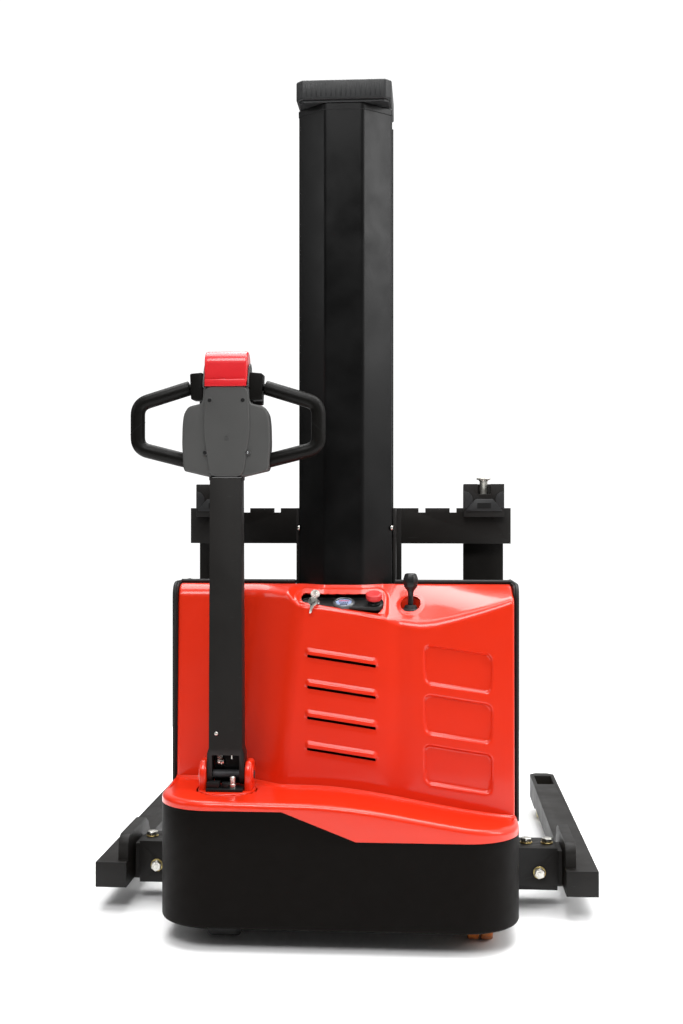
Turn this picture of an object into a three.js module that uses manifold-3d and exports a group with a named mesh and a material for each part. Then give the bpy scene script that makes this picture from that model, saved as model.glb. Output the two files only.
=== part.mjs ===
// Walkie stacker: a pedestrian-steered electric lift truck with straddle legs.
// Millimetres, +Z up, +Y towards the forks, +X to the right of the person who steers.
// Inside the "truck" group, y is measured from the front of the skirt and z from the floor.
import * as THREE from "three";
import { mergeVertices } from "three/addons/utils/BufferGeometryUtils.js";
import Module from "manifold-3d";

const wasm = await Module();
wasm.setup();

// ---------------------------------------------------------------- driving dimensions
const chassisWidth = 800;
const overallLength = 1620; // skirt front to fork tips
const mastHeight = 1970;
const legSpread = 1190; // over the straddle legs, set to their narrowest
const gap = 0.3; // clearance between neighbouring pieces

// Chassis
const skirtBottom = 50;
const skirtWall = 8;
const shelfHigh = 327; // shelf's top edge left of the slanting part
const shelfLow = 270; // shelf's top edge at the right side
const bodyTop = 785;
const plateWall = 6;
const frameBack = 446; // rear face of the body
const tubeSize = 100;
const tubeWall = 7;
const tubeFront = 350;
const tubeBottom = 46;
const tubeHalf = 508; // half length of the cross tube
const tubeBack = tubeFront + tubeSize;
const tubeMid = tubeFront + tubeSize / 2;
const tubeTop = tubeBottom + tubeSize;
const floorTop = 152; // top of the body's floor plate, which lies on the cross tube

// Steering and tiller
const steerX = -256;
const steerY = 130;
const driveRadius = 100;
const pivotZ = 360;
const armTop = 1040;
const steerNeck = 54; // radius of the turning tube under the tiller
const steerOpening = 70;
const deckTop = 234;
const throttleY = 68; // from the arm's middle
const throttleZ = 864; // above the hinge pin

// Caster
const casterX = 314;
const casterY = 118;
const casterRadius = 45;

// Mast
const mastHalf = 112;
const mastFront = 332;
const mastBack = 442;
const mastWall = 8;
const webHalf = 62;
const railMid = (mastFront + mastBack) / 2;
const cylinderRadius = 24;
const pulleyRadius = 30;
const pulleyZ = 1420;
const mastTop = 1905; // of the steel column
const cylinderTop = 1100;
const mastCoverFront = 262;
const mastFacet = 45; // half width of the cover's front facet
const mastFacetSlope = 60 / 67;
const chainFixedEnd = 1080;
const chainLiftEnd = 720;

// Carriage and forks
const barFront = 470;
const barThick = 30;
const barHalf = 404;
const barTop = 952;
const lowerBarBottom = barTop - 407;
const forkX = 337;
const forkWidth = 100;
const forkFront = barFront + barThick + 2;
const forkThick = 36;
const forkUnderside = lowerBarBottom - 76;
const hookFront = barFront - 18; // front of the hooks that hold a fork on the bars
const hookTop = 1023;

const rollerZ = [660, 900];
const rollerX = 89;
const lipTop = 963;
const pinY = barFront + barThick / 2;
const cheekInner = 114; // the carriage's side plates run beside the mast
const cheekThin = 120; // beside the mast they are thinner
const cheekOuter = 131;

// Console in the cover's top
const consoleX = 0;
const consoleY = 212;
const consoleZ = 740;
const consoleTilt = THREE.MathUtils.degToRad(22);
const leverX = 158;
const leverY = 232;
const leverZ = 728;
const leverPocket = 24;

// Straddle legs
const legWidth = 75;
const legInner = legSpread / 2 - legWidth;
const legNear = 262;
const legFar = 1366;
const legBottom = 57;
const legTop = 117;
const loadRadius = 45;

// ---------------------------------------------------------------- materials
function finish(color, roughness, metalness) {
  return new THREE.MeshStandardMaterial({ color, roughness, metalness });
}

const redPaint = finish(0xee3c21, 0.25, 0.0);
const blackPaint = finish(0x1b1815, 0.55, 0.1);
const blackPlastic = finish(0x1e1d1c, 0.6, 0.0);
const greyPlastic = finish(0x55585a, 0.5, 0.0);
const redPlastic = finish(0xd8262b, 0.35, 0.0);
const rubber = finish(0x161616, 0.8, 0.0);
const zinc = finish(0xc9c6bd, 0.35, 0.9);
const steel = finish(0x9a9a9a, 0.3, 0.95);
const castIron = finish(0x3c3c3c, 0.7, 0.4);
const amberTyre = finish(0xa8642a, 0.5, 0.0);
const creamTyre = finish(0xe8dcb8, 0.5, 0.0);
const gaugeFace = finish(0x9fb0c8, 0.15, 0.0);
const batteryCase = finish(0x30343a, 0.5, 0.0);

// ---------------------------------------------------------------- solids
// A closed three.js geometry as a manifold solid.
function solid(geometry) {
  geometry.deleteAttribute("normal");
  geometry.deleteAttribute("uv");
  const merged = mergeVertices(geometry, 1e-4);
  const made = (triVerts) =>
    new wasm.Manifold(
      new wasm.Mesh({
        numProp: 3,
        vertProperties: new Float32Array(merged.attributes.position.array),
        triVerts,
      }),
    );
  const faces = new Uint32Array(merged.index.array);
  const shape = made(faces);
  return shape.volume() > 0 ? shape : made(faces.toReversed());
}

function join(first, ...others) {
  return others.reduce((sum, other) => sum.add(other), first);
}

function cut(first, ...tools) {
  return tools.reduce((rest, tool) => rest.subtract(tool), first);
}

// A solid as a named mesh of the given material.
function mesh(name, shape, material) {
  const made = shape.getMesh();
  const geometry = new THREE.BufferGeometry();
  geometry.setAttribute("position", new THREE.BufferAttribute(made.vertProperties, 3));
  geometry.setIndex(new THREE.BufferAttribute(made.triVerts, 1));
  geometry.computeVertexNormals();
  const piece = new THREE.Mesh(geometry, material);
  piece.name = name;
  return piece;
}

// A box between two values along each axis.
function block(x0, x1, y0, y1, z0, z1) {
  const geometry = new THREE.BoxGeometry(x1 - x0, y1 - y0, z1 - z0);
  geometry.translate((x0 + x1) / 2, (y0 + y1) / 2, (z0 + z1) / 2);
  return solid(geometry);
}

// A cylinder or cone from one point along an axis, "x", "y" or "z".
function rod(radius, length, axis, x, y, z, sides = 20, endRadius = radius) {
  const geometry = new THREE.CylinderGeometry(endRadius, radius, length, sides);
  geometry.translate(0, length / 2, 0);
  if (axis === "x") geometry.rotateZ(-Math.PI / 2);
  if (axis === "z") geometry.rotateX(Math.PI / 2);
  geometry.translate(x, y, z);
  return solid(geometry);
}

// Extrusions of an outline, given as [a, b] points.
function outline(points) {
  return new THREE.Shape(points.map(([a, b]) => new THREE.Vector2(a, b)));
}

function extrude(shape, depth, curveSegments = 6) {
  return new THREE.ExtrudeGeometry(shape, { depth, bevelEnabled: false, curveSegments });
}

// Outline in x and y, raised from z0 to z1.
function plan(shape, z0, z1, curveSegments) {
  const geometry = extrude(shape, z1 - z0, curveSegments);
  geometry.translate(0, 0, z0);
  return solid(geometry);
}

// Outline in x and z, from y0 to y1.
function front(shape, y0, y1, curveSegments) {
  const geometry = extrude(shape, y1 - y0, curveSegments);
  geometry.rotateX(Math.PI / 2);
  geometry.translate(0, y1, 0);
  return solid(geometry);
}

// Outline in y and z, from x0 to x1.
function side(shape, x0, x1, curveSegments) {
  const geometry = extrude(shape, x1 - x0, curveSegments);
  geometry.rotateX(Math.PI / 2);
  geometry.rotateZ(Math.PI / 2);
  geometry.translate(x0, 0, 0);
  return solid(geometry);
}

// A rectangle with rounded corners as a Shape.
function roundedRectangle(a0, a1, b0, b1, radius) {
  const shape = new THREE.Shape();
  shape.moveTo(a0 + radius, b0);
  shape.lineTo(a1 - radius, b0);
  shape.absarc(a1 - radius, b0 + radius, radius, -Math.PI / 2, 0);
  shape.lineTo(a1, b1 - radius);
  shape.absarc(a1 - radius, b1 - radius, radius, 0, Math.PI / 2);
  shape.lineTo(a0 + radius, b1);
  shape.absarc(a0 + radius, b1 - radius, radius, Math.PI / 2, Math.PI);
  shape.lineTo(a0, b0 + radius);
  shape.absarc(a0 + radius, b0 + radius, radius, Math.PI, 1.5 * Math.PI);
  return shape;
}

// A skin through equal rings of points, closed at both ends by flat caps.
function loft(rings) {
  const count = rings[0].length;
  const position = rings.flat().flatMap((p) => [p.x, p.y, p.z]);
  const index = [];
  for (let r = 0; r + 1 < rings.length; r++) {
    for (let i = 0; i < count; i++) {
      const j = (i + 1) % count;
      const a = r * count + i;
      const b = r * count + j;
      index.push(a, b, b + count, a, b + count, a + count);
    }
  }
  const last = (rings.length - 1) * count;
  for (const [a, b, c] of capTriangles(rings[0])) {
    index.push(c, b, a);
    index.push(last + a, last + b, last + c);
  }
  const geometry = new THREE.BufferGeometry();
  geometry.setAttribute("position", new THREE.Float32BufferAttribute(position, 3));
  geometry.setIndex(index);
  return solid(geometry);
}

// Triangles of a ring's cap, found in the plane where the ring is widest.
function capTriangles(ring) {
  const box = new THREE.Box3().setFromPoints(ring);
  const size = box.getSize(new THREE.Vector3());
  const flat = ring.map((p) => {
    if (size.x <= size.y && size.x <= size.z) return new THREE.Vector2(p.y, p.z);
    if (size.y <= size.z) return new THREE.Vector2(p.z, p.x);
    return new THREE.Vector2(p.x, p.y);
  });
  const triangles = THREE.ShapeUtils.triangulateShape(flat, []);
  const turned = THREE.ShapeUtils.isClockWise(flat);
  return turned ? triangles.map(([a, b, c]) => [c, b, a]) : triangles;
}

function smoothstep(from, to, value) {
  const t = THREE.MathUtils.clamp((value - from) / (to - from), 0, 1);
  return t * t * (3 - 2 * t);
}

// A ring about an axis through the origin: outer and bore radius, width along "x".
function wheelRing(outer, bore, width, sides = 40) {
  const chamfer = Math.min(4, width / 8);
  const half = width / 2;
  const profile = [
    [bore, -half],
    [outer - chamfer, -half],
    [outer, -half + chamfer],
    [outer, half - chamfer],
    [outer - chamfer, half],
    [bore, half],
    [bore, -half],
  ].map(([r, x]) => new THREE.Vector2(r, x));
  const geometry = new THREE.LatheGeometry(profile, sides);
  geometry.rotateZ(Math.PI / 2);
  return solid(geometry);
}

// ---------------------------------------------------------------- chassis
const half = chassisWidth / 2;
const skirtCorner = 120;
const skirtBack = 344;
const skirtHighTop = 306;
const skirtLowTop = 244;
const skirtStepLeft = -117; // the skirt's top edge runs down between these two x
const skirtStepRight = 44;

// The skirt's outline, moved inwards by an offset, from its back end round the front.
function skirtOutline(offset, back) {
  const x = half - offset;
  const r = skirtCorner - offset;
  const shape = new THREE.Shape();
  shape.moveTo(x, back);
  shape.lineTo(-x, back);
  shape.lineTo(-x, skirtCorner);
  shape.absarc(-half + skirtCorner, skirtCorner, r, Math.PI, 1.5 * Math.PI);
  shape.absarc(half - skirtCorner, skirtCorner, r, 1.5 * Math.PI, 2 * Math.PI);
  shape.lineTo(x, back);
  return shape;
}

function skirt() {
  const wall = cut(
    plan(skirtOutline(0, skirtBack), skirtBottom, skirtHighTop, 8),
    plan(skirtOutline(skirtWall, skirtBack + 10), skirtBottom - 10, skirtHighTop + 10, 8),
  );
  const aboveLow = outline([
    [skirtStepLeft, skirtHighTop + 1],
    [skirtStepLeft, skirtHighTop],
    [skirtStepRight, skirtLowTop],
    [half + 10, skirtLowTop],
    [half + 10, skirtHighTop + 1],
  ]);
  return cut(wall, front(aboveLow, -10, skirtBack + 10));
}

// Where the red cover's front face stands at its foot: set back beside the tiller, forward elsewhere.
const coverLeft = -391.5;
const coverRight = 393;
const coverRecess = 240;
const coverMiddle = 168;
const coverRightFront = 152;

function coverFront(x) {
  const forward = THREE.MathUtils.lerp(coverMiddle, coverRightFront, smoothstep(-100, coverRight, x));
  return THREE.MathUtils.lerp(coverRecess, forward, smoothstep(-232, -98, x));
}

const browLeft = 768;
const browNotch = 737;
const browNotchX = -96;
const browSlope = 0.141;
const browDip = 694;
const browDipX = 175;
const browRise = 0.22;
const browCurl = 0.00038;

// Height of the brow where the face turns into the sloping top.
function coverBrow(x) {
  const notch = THREE.MathUtils.lerp(browLeft, browNotch, smoothstep(-130, browNotchX, x));
  const falling = notch - browSlope * Math.max(x - browNotchX, 0);
  const beyondDip = Math.max(x - browDipX, 0);
  return Math.max(falling, browDip + browRise * beyondDip + browCurl * beyondDip ** 2);
}

// The cover's rear edge keeps clear of the mast cover's facets.
function coverBack(x) {
  const fromFacet = mastCoverFront - 4 + (Math.abs(x) - mastFacet) * mastFacetSlope;
  return THREE.MathUtils.clamp(fromFacet, mastCoverFront - 4, 300);
}

const coverWall = 5;
const coverFoot = 262;
const coverLean = 16;
const coverTop = 782;

function coverRing(x, wall) {
  const foot = coverFront(x);
  const brow = coverBrow(x);
  const back = coverBack(x);
  const ring = [
    [foot, coverFoot],
    [foot + coverLean, brow - 14],
    [foot + coverLean + 4, brow - 4],
    [foot + coverLean + 13, brow + 4],
    [back - 10, coverTop - 3],
    [back, coverTop],
  ];
  if (wall > 0) {
    ring.push(
      [back, coverTop - wall],
      [back - 9, coverTop - wall - 4],
      [foot + coverLean + wall + 9, brow - wall],
      [foot + coverLean + wall, brow - 18],
      [foot + wall, coverFoot],
    );
  } else {
    ring.push([back, coverFoot]);
  }
  return ring.map(([y, z]) => new THREE.Vector3(x, y, z));
}

const coverStations = [
  coverLeft, -360, -300, -232, -205, -180, -155, -130, -98, -70, -45, 0, 45, 70, 98, 120,
  150, 200, 260, 320, 360, coverRight,
];

const louvreLeft = -78;
const louvreRight = 79;
const louvreSlope = -0.14;
const louvreTops = [627, 556, 486, 415];

// A bar across the cover's face that slants down to the right.
function slantBar(x0, x1, z, height, y0, y1) {
  const drop = (x1 - x0) * louvreSlope;
  return front(
    outline([
      [x0, z - height],
      [x1, z - height + drop],
      [x1, z + drop],
      [x0, z],
    ]),
    y0,
    y1,
  );
}

const pocketLeft = 190;
const pocketRight = 342;
const pocketTops = [650, 538, 425];
const pocketHeight = 88;
const pocketDepth = 2.5;

// A slice across the space just outside the face, down to the bottom of the pockets.
function pocketRing(x) {
  const foot = coverFront(x) + pocketDepth;
  const brow = coverBrow(x) - 14;
  const ring = [
    [foot, coverFoot],
    [foot + coverLean, brow],
    [foot + coverLean - 40, brow],
    [foot - 40, coverFoot],
  ];
  return ring.map(([y, z]) => new THREE.Vector3(x, y, z));
}

function frontCover() {
  let shell = loft(coverStations.map((x) => coverRing(x, coverWall)));
  for (const [x0, x1] of [[coverLeft, coverLeft + 4], [coverRight - 4, coverRight]]) {
    shell = shell.add(loft([coverRing(x0, 0), coverRing(x1, 0)]));
  }
  for (const top of louvreTops) {
    const face = coverMiddle + (coverLean * (top - coverFoot)) / 440;
    shell = join(shell, slantBar(louvreLeft - 4, louvreRight + 4, top + 14, 14, face - 6, face + 4));
    shell = cut(shell, slantBar(louvreLeft, louvreRight, top, 9, coverMiddle - 30, coverRecess));
  }
  const faceSkin = loft([pocketLeft - 8, 230, 270, 310, pocketRight + 8].map(pocketRing));
  for (const top of pocketTops) {
    const bar = slantBar(pocketLeft, pocketRight, top, pocketHeight, 0, coverRecess);
    shell = cut(shell, bar.intersect(faceSkin));
  }
  const consoleHole = plan(
    roundedRectangle(consoleX - 98, consoleX + 98, consoleY - 30, consoleY + 30, 22),
    640,
    900,
  );
  const leverHole = rod(leverPocket, 260, "z", leverX, leverY, 640);
  return cut(shell, consoleHole, leverHole);
}

function shelfCover() {
  const backEdge = coverStations
    .filter((x) => x > coverLeft && x < coverRight)
    .map((x) => [x, coverFront(x) - 0.6]);
  const left = -half + 6;
  const top = outline([
    [-half, skirtHighTop + gap],
    [skirtStepLeft, skirtHighTop + gap],
    [skirtStepRight, skirtLowTop + gap],
    [half, skirtLowTop + gap],
    [half, shelfLow],
    [-55, shelfHigh],
    [-half, shelfHigh],
  ]);
  const bounded = plan(
    outline([
      [-half - 1, -1],
      [half + 1, -1],
      [half + 1, coverRightFront + 34],
      [coverRight, coverRightFront - 0.6],
      ...backEdge.toReversed(),
      [left, coverRecess - 0.6],
      [-half - 1, coverRecess + 8],
    ]),
    200,
    400,
  );
  const plate = front(top, -1, skirtBack).intersect(plan(skirtOutline(0, skirtBack), 200, 400, 8));
  const opening = rod(steerOpening, 200, "z", steerX, steerY, 230, 32);
  return cut(plate.intersect(bounded), opening);
}

// The welded steel frame: side plates, floor, rear walls, deck, caster pad and cross tube.
function chassisFrame() {
  const inner = half - skirtWall - gap;
  const sidePlate = (sign, frontY, bottom) => {
    const radius = 28;
    const shape = new THREE.Shape();
    shape.moveTo(frontY, bottom);
    shape.lineTo(frameBack, bottom);
    shape.lineTo(frameBack, bodyTop);
    shape.lineTo(frontY + radius, bodyTop);
    shape.absarc(frontY + radius, bodyTop - radius, radius, Math.PI / 2, Math.PI);
    shape.lineTo(frontY, bottom);
    const x = [sign * (half - plateWall), sign * half].sort((a, b) => a - b);
    const low = [sign * (inner - plateWall), sign * inner].sort((a, b) => a - b);
    const ledge = [sign * (inner - plateWall), sign * half].sort((a, b) => a - b);
    return join(
      side(shape, x[0], x[1]),
      block(low[0], low[1], 304, frameBack, 60, 330),
      block(ledge[0], ledge[1], 304, frameBack, bottom, bottom + plateWall),
    );
  };
  const pocket = 150;
  const rearWalls = [-1, 1].map((sign) => {
    const x = [sign * pocket, sign * (half - 1)].sort((a, b) => a - b);
    const pocketWall = [sign * pocket, sign * (pocket + plateWall)].sort((a, b) => a - b);
    const lid = [sign * 118, sign * (half - 1)].sort((a, b) => a - b);
    return join(
      block(x[0], x[1], frameBack - plateWall, frameBack, 146, bodyTop - 6),
      block(x[0], x[1], 304, frameBack, bodyTop - 12, bodyTop - 6),
      block(lid[0], lid[1], 302, 308, 700, bodyTop),
      block(pocketWall[0], pocketWall[1], 304, frameBack, 146, bodyTop - 6),
    );
  });
  const tube = block(-tubeHalf, tubeHalf, tubeFront, tubeBack, tubeBottom, tubeTop);
  let frame = join(
    sidePlate(-1, coverRecess + 10, skirtHighTop + 1),
    sidePlate(1, coverRightFront + 40, skirtLowTop + 1),
    ...rearWalls,
    block(-inner, inner, 246, frameBack, 144, floorTop),
    block(-inner, inner, 240, 246, 70, 234),
    block(-inner, inner, 130, 246, 226, 234),
    block(-inner + 110, inner - 110, 14, 246, 226, 234),
    block(casterX - 40, casterX + 40, casterY - 40, casterY + 40, 112, 230),
    tube,
  );
  const bore = tubeWall;
  frame = cut(
    frame,
    block(
      -tubeHalf - 10, tubeHalf + 10, tubeFront + bore, tubeBack - bore, tubeBottom + bore, tubeTop - bore,
    ),
    rod(steerNeck + 2, 40, "z", steerX, steerY, 210, 32),
    rod(11.6, 200, "z", casterX, casterY, 90),
  );
  for (const [x, y, z, axis] of legBoltPlaces) {
    const upright = axis === "z";
    const hole = upright ? rod(8.6, 40, "z", x, y, z - 20, 12) : rod(8.6, 40, "y", x, y - 20, z, 12);
    frame = cut(frame, hole);
  }
  return frame;
}

// Clamp bolts of the straddle legs: two on top of the cross tube and one in front, each side.
const legBoltPlaces = [-1, 1].flatMap((sign) => [
  [sign * 437, tubeMid, tubeTop, "z"],
  [sign * 487, tubeMid, tubeTop, "z"],
  [sign * 465, tubeFront, 88, "y"],
]);

// A hexagon bolt and its washer, standing on a face at the origin; the shank points down.
function hexBolt() {
  return join(
    rod(8, tubeWall + 3, "z", 0, 0, -tubeWall + 0.4, 12),
    rod(15, 3, "z", 0, 0, gap, 16),
    rod(13.8, 10, "z", 0, 0, gap + 2.8, 6),
  );
}

function legBolts() {
  const names = ["rear_inner", "rear_outer", "front"];
  return legBoltPlaces.map(([x, y, z, axis], i) => {
    const bolt = mesh(`leg_bolt_${i < 3 ? "left" : "right"}_${names[i % 3]}`, hexBolt(), zinc);
    bolt.position.set(x, y, z);
    if (axis === "y") bolt.rotation.x = Math.PI / 2;
    return bolt;
  });
}

const batteryTop = 370;
const batteryInner = 165;
const batteryOuter = 380;

// Batteries, pump unit and controller behind the cover.
function powerPack() {
  const battery = (x0, x1) =>
    join(
      block(x0, x1, 256, 424, floorTop + gap, batteryTop),
      block(x0 + 30, x0 + 50, 330, 350, batteryTop, batteryTop + 12),
    );
  const pumpX = -270;
  const pump = join(
    rod(48, 180, "z", pumpX, 350, 400, 28),
    block(pumpX - 80, pumpX + 80, 320, 432, 580, 740),
  );
  return [
    mesh("battery_left", battery(-batteryOuter, -batteryInner), batteryCase),
    mesh("battery_right", battery(batteryInner, batteryOuter), batteryCase),
    mesh("hydraulic_unit", pump, castIron),
    mesh("motor_controller", block(180, 360, 250, 330, 400, 620), steel),
  ];
}

// ---------------------------------------------------------------- console
const trayHalfLength = 96;
const trayHalfWidth = 27;
const trayThick = 8;
const gaugeX = 4;
const gaugeRadius = 24.5;
const keyX = -62;
const keyY = 4;
const stopX = 74;
const stopY = 2;
const stopHeadZ = 22; // underside of the emergency stop's head, above the tray

// Drawn flat, with z standing on the tray, then tilted towards the driver.
function consoleGroup() {
  const group = new THREE.Group();
  group.position.set(consoleX, consoleY, consoleZ);
  group.rotation.x = consoleTilt;
  const gaugeBody = gaugeRadius - 4.5;
  const stopStem = 10;
  const keySwitch = join(rod(8, 12, "z", keyX, keyY, -9), rod(11, 4, "z", keyX, keyY, 0));
  const plate = plan(
    roundedRectangle(-trayHalfLength, trayHalfLength, -trayHalfWidth, trayHalfWidth, 21),
    -trayThick,
    0,
  );
  const tray = cut(
    join(plate, keySwitch),
    rod(gaugeBody + 0.4, 40, "z", gaugeX, 0, -20),
    rod(stopStem + 0.4, 40, "z", stopX, stopY, -20),
    rod(3.4, 14, "z", keyX, keyY, -5, 12),
  );
  const gauge = join(
    rod(gaugeBody, 10, "z", gaugeX, 0, -6, 28),
    rod(gaugeRadius, 5, "z", gaugeX, 0, gap, 28),
  );
  const stop = join(
    rod(stopStem, stopHeadZ + 14, "z", stopX, stopY, -14),
    rod(19, 10, "z", stopX, stopY, stopHeadZ, 28),
  );
  const blade = block(keyX - 1.9, keyX + 1.9, keyY - 1.1, keyY + 1.1, -3, 14);
  const key = join(blade, rod(12, 2.2, "y", keyX, keyY - 1.1, 24));
  group.add(
    mesh("console_tray", tray, blackPlastic),
    mesh("battery_gauge", gauge, gaugeFace),
    mesh("emergency_stop", stop, redPlastic),
    mesh("key", key, zinc),
  );
  return group;
}

// The lift lever tilts about the group's origin; its boot leaves room for the stem to swing.
function leverGroup() {
  const group = new THREE.Group();
  group.position.set(leverX, leverY, leverZ);
  const stemRadius = 7;
  const swingRoom = 10.4;
  const knobRadius = 15;
  const boot = cut(
    join(rod(22, 6, "z", 0, 0, -8, 24), rod(19, 16, "z", 0, 0, -3, 24, 13)),
    rod(swingRoom, 60, "z", 0, 0, -20),
  );
  const lever = join(
    rod(stemRadius, 60, "z", 0, 0, -16),
    rod(9, 36, "z", 0, 0, 40, 8, knobRadius),
    rod(knobRadius, 10, "z", 0, 0, 76, 8, 9),
  );
  group.add(mesh("lever_boot", boot, rubber), mesh("lift_lever", lever, blackPlastic));
  return group;
}

// ---------------------------------------------------------------- steering, drive and tiller
const bracketCheek = 39; // inner faces of the wheel bracket
const bracketWall = 7;
const crownZ = 204; // underside of the bracket's crown plate
const turntableZ = 318; // underside of the red turntable
const pinRadius = 10;
const yokeInner = 43;
const yokeOuter = 59;

// One cheek of the tiller's yoke, rounded over the hinge pin.
function yokeCheek(x0, x1) {
  const foot = turntableZ + 1;
  const shape = new THREE.Shape();
  shape.moveTo(-30, foot);
  shape.lineTo(32, foot);
  shape.lineTo(32, pivotZ + 6);
  shape.absarc(2, pivotZ + 8, 30, -0.2, Math.PI - 0.2);
  shape.lineTo(-30, foot);
  return side(shape, x0, x1);
}

function steeringGroup() {
  const group = new THREE.Group();
  group.position.set(steerX, steerY, 0);
  const cheekOut = bracketCheek + bracketWall;
  const cheekTop = crownZ + 12;
  const axleRadius = 12;
  const bracket = join(
    rod(56, 10, "z", 0, 0, crownZ, 32),
    rod(steerNeck, turntableZ - crownZ - 10, "z", 0, 0, crownZ + 10, 32),
    block(-cheekOut, -bracketCheek, -34, 34, 70, cheekTop),
    block(bracketCheek, cheekOut, -34, 34, 70, cheekTop),
  );
  const axleHoles = rod(axleRadius + 0.4, 120, "x", -60, 0, driveRadius);
  const motor = join(
    rod(50, 52, "x", -26, 0, driveRadius, 32),
    rod(axleRadius, 2 * cheekOut, "x", -cheekOut, 0, driveRadius),
  );
  const yoke = cut(
    join(
      rod(66, 10, "z", 0, 0, turntableZ + gap, 36),
      yokeCheek(-yokeOuter, -yokeInner),
      yokeCheek(yokeInner, yokeOuter),
    ),
    rod(pinRadius + gap, 140, "x", -70, 0, pivotZ),
  );
  const pinHalf = yokeOuter + 4;
  group.add(
    mesh("steering_bracket", cut(bracket, axleHoles), castIron),
    mesh("drive_motor", motor, steel),
    mesh("tiller_yoke", yoke, redPaint),
    mesh("tiller_pin", rod(pinRadius, 2 * pinHalf, "x", -pinHalf, 0, pivotZ), zinc),
  );
  const wheel = new THREE.Group();
  wheel.position.set(0, 0, driveRadius);
  wheel.add(mesh("drive_wheel", wheelRing(driveRadius, 52, 66), rubber));
  group.add(wheel, tillerGroup());
  return group;
}

function slewRing() {
  const ring = rod(88, 16, "z", steerX, steerY, deckTop + gap, 36);
  return cut(ring, rod(steerNeck + 1, 60, "z", steerX, steerY, 220, 36));
}

// The tiller, drawn about its hinge pin; z runs up the arm.
const armLength = armTop - pivotZ - 9;
const armDepth = 22; // half depth of the arm
const armHalfTop = 35.5;
const armHalfFoot = 42;
const armWall = 5;

function tillerArm() {
  const foot = 28;
  const flareTop = 62;
  const mouthTop = 46;
  const tube = front(
    outline([
      [-armHalfFoot, foot], [armHalfFoot, foot], [armHalfFoot, flareTop - 12],
      [armHalfTop + 2.5, flareTop], [armHalfTop, armLength], [-armHalfTop, armLength],
      [-armHalfTop - 2.5, flareTop], [-armHalfFoot, flareTop - 12],
    ]),
    -armDepth,
    armDepth,
  );
  const mouthHalf = armHalfFoot - 11;
  const hollowTop = armHalfTop - 6.5;
  const hollow = front(
    outline([
      [-mouthHalf, foot - 8], [mouthHalf, foot - 8],
      [hollowTop, armLength - 6], [-hollowTop, armLength - 6],
    ]),
    -armDepth + armWall,
    armDepth - armWall,
  );
  const mouth = block(-mouthHalf, mouthHalf, -40, 0, foot - 8, mouthTop);
  const cheek = (x0, x1) =>
    join(rod(armDepth, x1 - x0, "x", x0, 0, 0, 28), block(x0, x1, -armDepth, armDepth, 0, foot + 2));
  const arm = join(
    cut(tube, hollow, mouth),
    cheek(-armHalfFoot, -mouthHalf),
    cheek(mouthHalf, armHalfFoot),
  );
  return cut(arm, rod(pinRadius + gap, 120, "x", -60, 0, 0));
}

function gasSpring() {
  const springX = -14;
  const springY = 4;
  return join(
    rod(10, 200, "z", springX, springY, 70),
    rod(4, 60, "z", springX, springY, 28, 12),
    rod(8, 14, "x", springX - 7, springY, 28, 12),
  );
}

function headOutline(inset) {
  const z = (height) => height - pivotZ;
  const right = [
    [66, 1032], [84, 1052], [97, 1100], [100, 1150], [97, 1183], [86, 1195], [53, 1199], [52, 1238],
  ];
  const points = right.map(([x, height]) => [x - inset, z(height) - (height > 1200 ? inset : 0)]);
  return outline([...points, ...points.toReversed().map(([x, height]) => [-x, height])]);
}

function headBackShell() {
  let shell = front(headOutline(0), -22, 8);
  for (const [x, height] of [[38, 1205], [49, 1087]]) {
    for (const sign of [-1, 1]) shell = cut(shell, rod(4, 8, "y", sign * x, -30, height - pivotZ, 12));
  }
  return shell;
}

function headFrontShell() {
  let shell = front(headOutline(2), 8 + gap, 44);
  shell = join(shell, block(-10, 10, 40, throttleY + 14, throttleZ - 14, throttleZ + 13));
  shell = cut(shell, rod(9.4, 60, "x", -30, throttleY, throttleZ));
  for (const [x, height] of headButtonPlaces) {
    shell = cut(shell, rod(9.5, 20, "y", x, 34, height - pivotZ));
  }
  return shell;
}

const headButtonPlaces = [[-28, 1150], [28, 1150], [0, 1180]];

function throttle() {
  const paddle = (x0, x1) => block(x0, x1, throttleY - 6, throttleY + 6, throttleZ - 26, throttleZ + 26);
  return join(rod(9, 150, "x", -75, throttleY, throttleZ), paddle(-75, -26), paddle(26, 75));
}

// One loop handle with the block that carries its upper end.
function loopHandle(sign) {
  const route = [
    [88, 1234], [146, 1222], [192, 1204], [206, 1178],
    [206, 1124], [191, 1098], [148, 1086], [103, 1076],
  ];
  const curve = new THREE.CatmullRomCurve3(
    route.map(([x, height]) => new THREE.Vector3(sign * x, 10, height - pivotZ)),
    false,
    "centripetal",
  );
  const section = new THREE.Shape();
  section.absarc(0, 0, 16.5, 0, 2 * Math.PI);
  const settings = { steps: 20, extrudePath: curve, bevelEnabled: false, curveSegments: 6 };
  const tube = solid(new THREE.ExtrudeGeometry(section, settings));
  const x = [sign * 53, sign * 92].sort((a, b) => a - b);
  return join(tube, block(x[0], x[1], -14, 32, 1208 - pivotZ, 1269 - pivotZ));
}

function bellyButton() {
  const shape = new THREE.Shape();
  shape.moveTo(-20, 1244 - pivotZ);
  shape.lineTo(42, 1244 - pivotZ);
  shape.lineTo(42, 1286 - pivotZ);
  shape.absarc(11, 1287 - pivotZ, 31, 0, Math.PI);
  shape.lineTo(-20, 1244 - pivotZ);
  return side(shape, -48.5, 48.5, 12);
}

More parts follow.
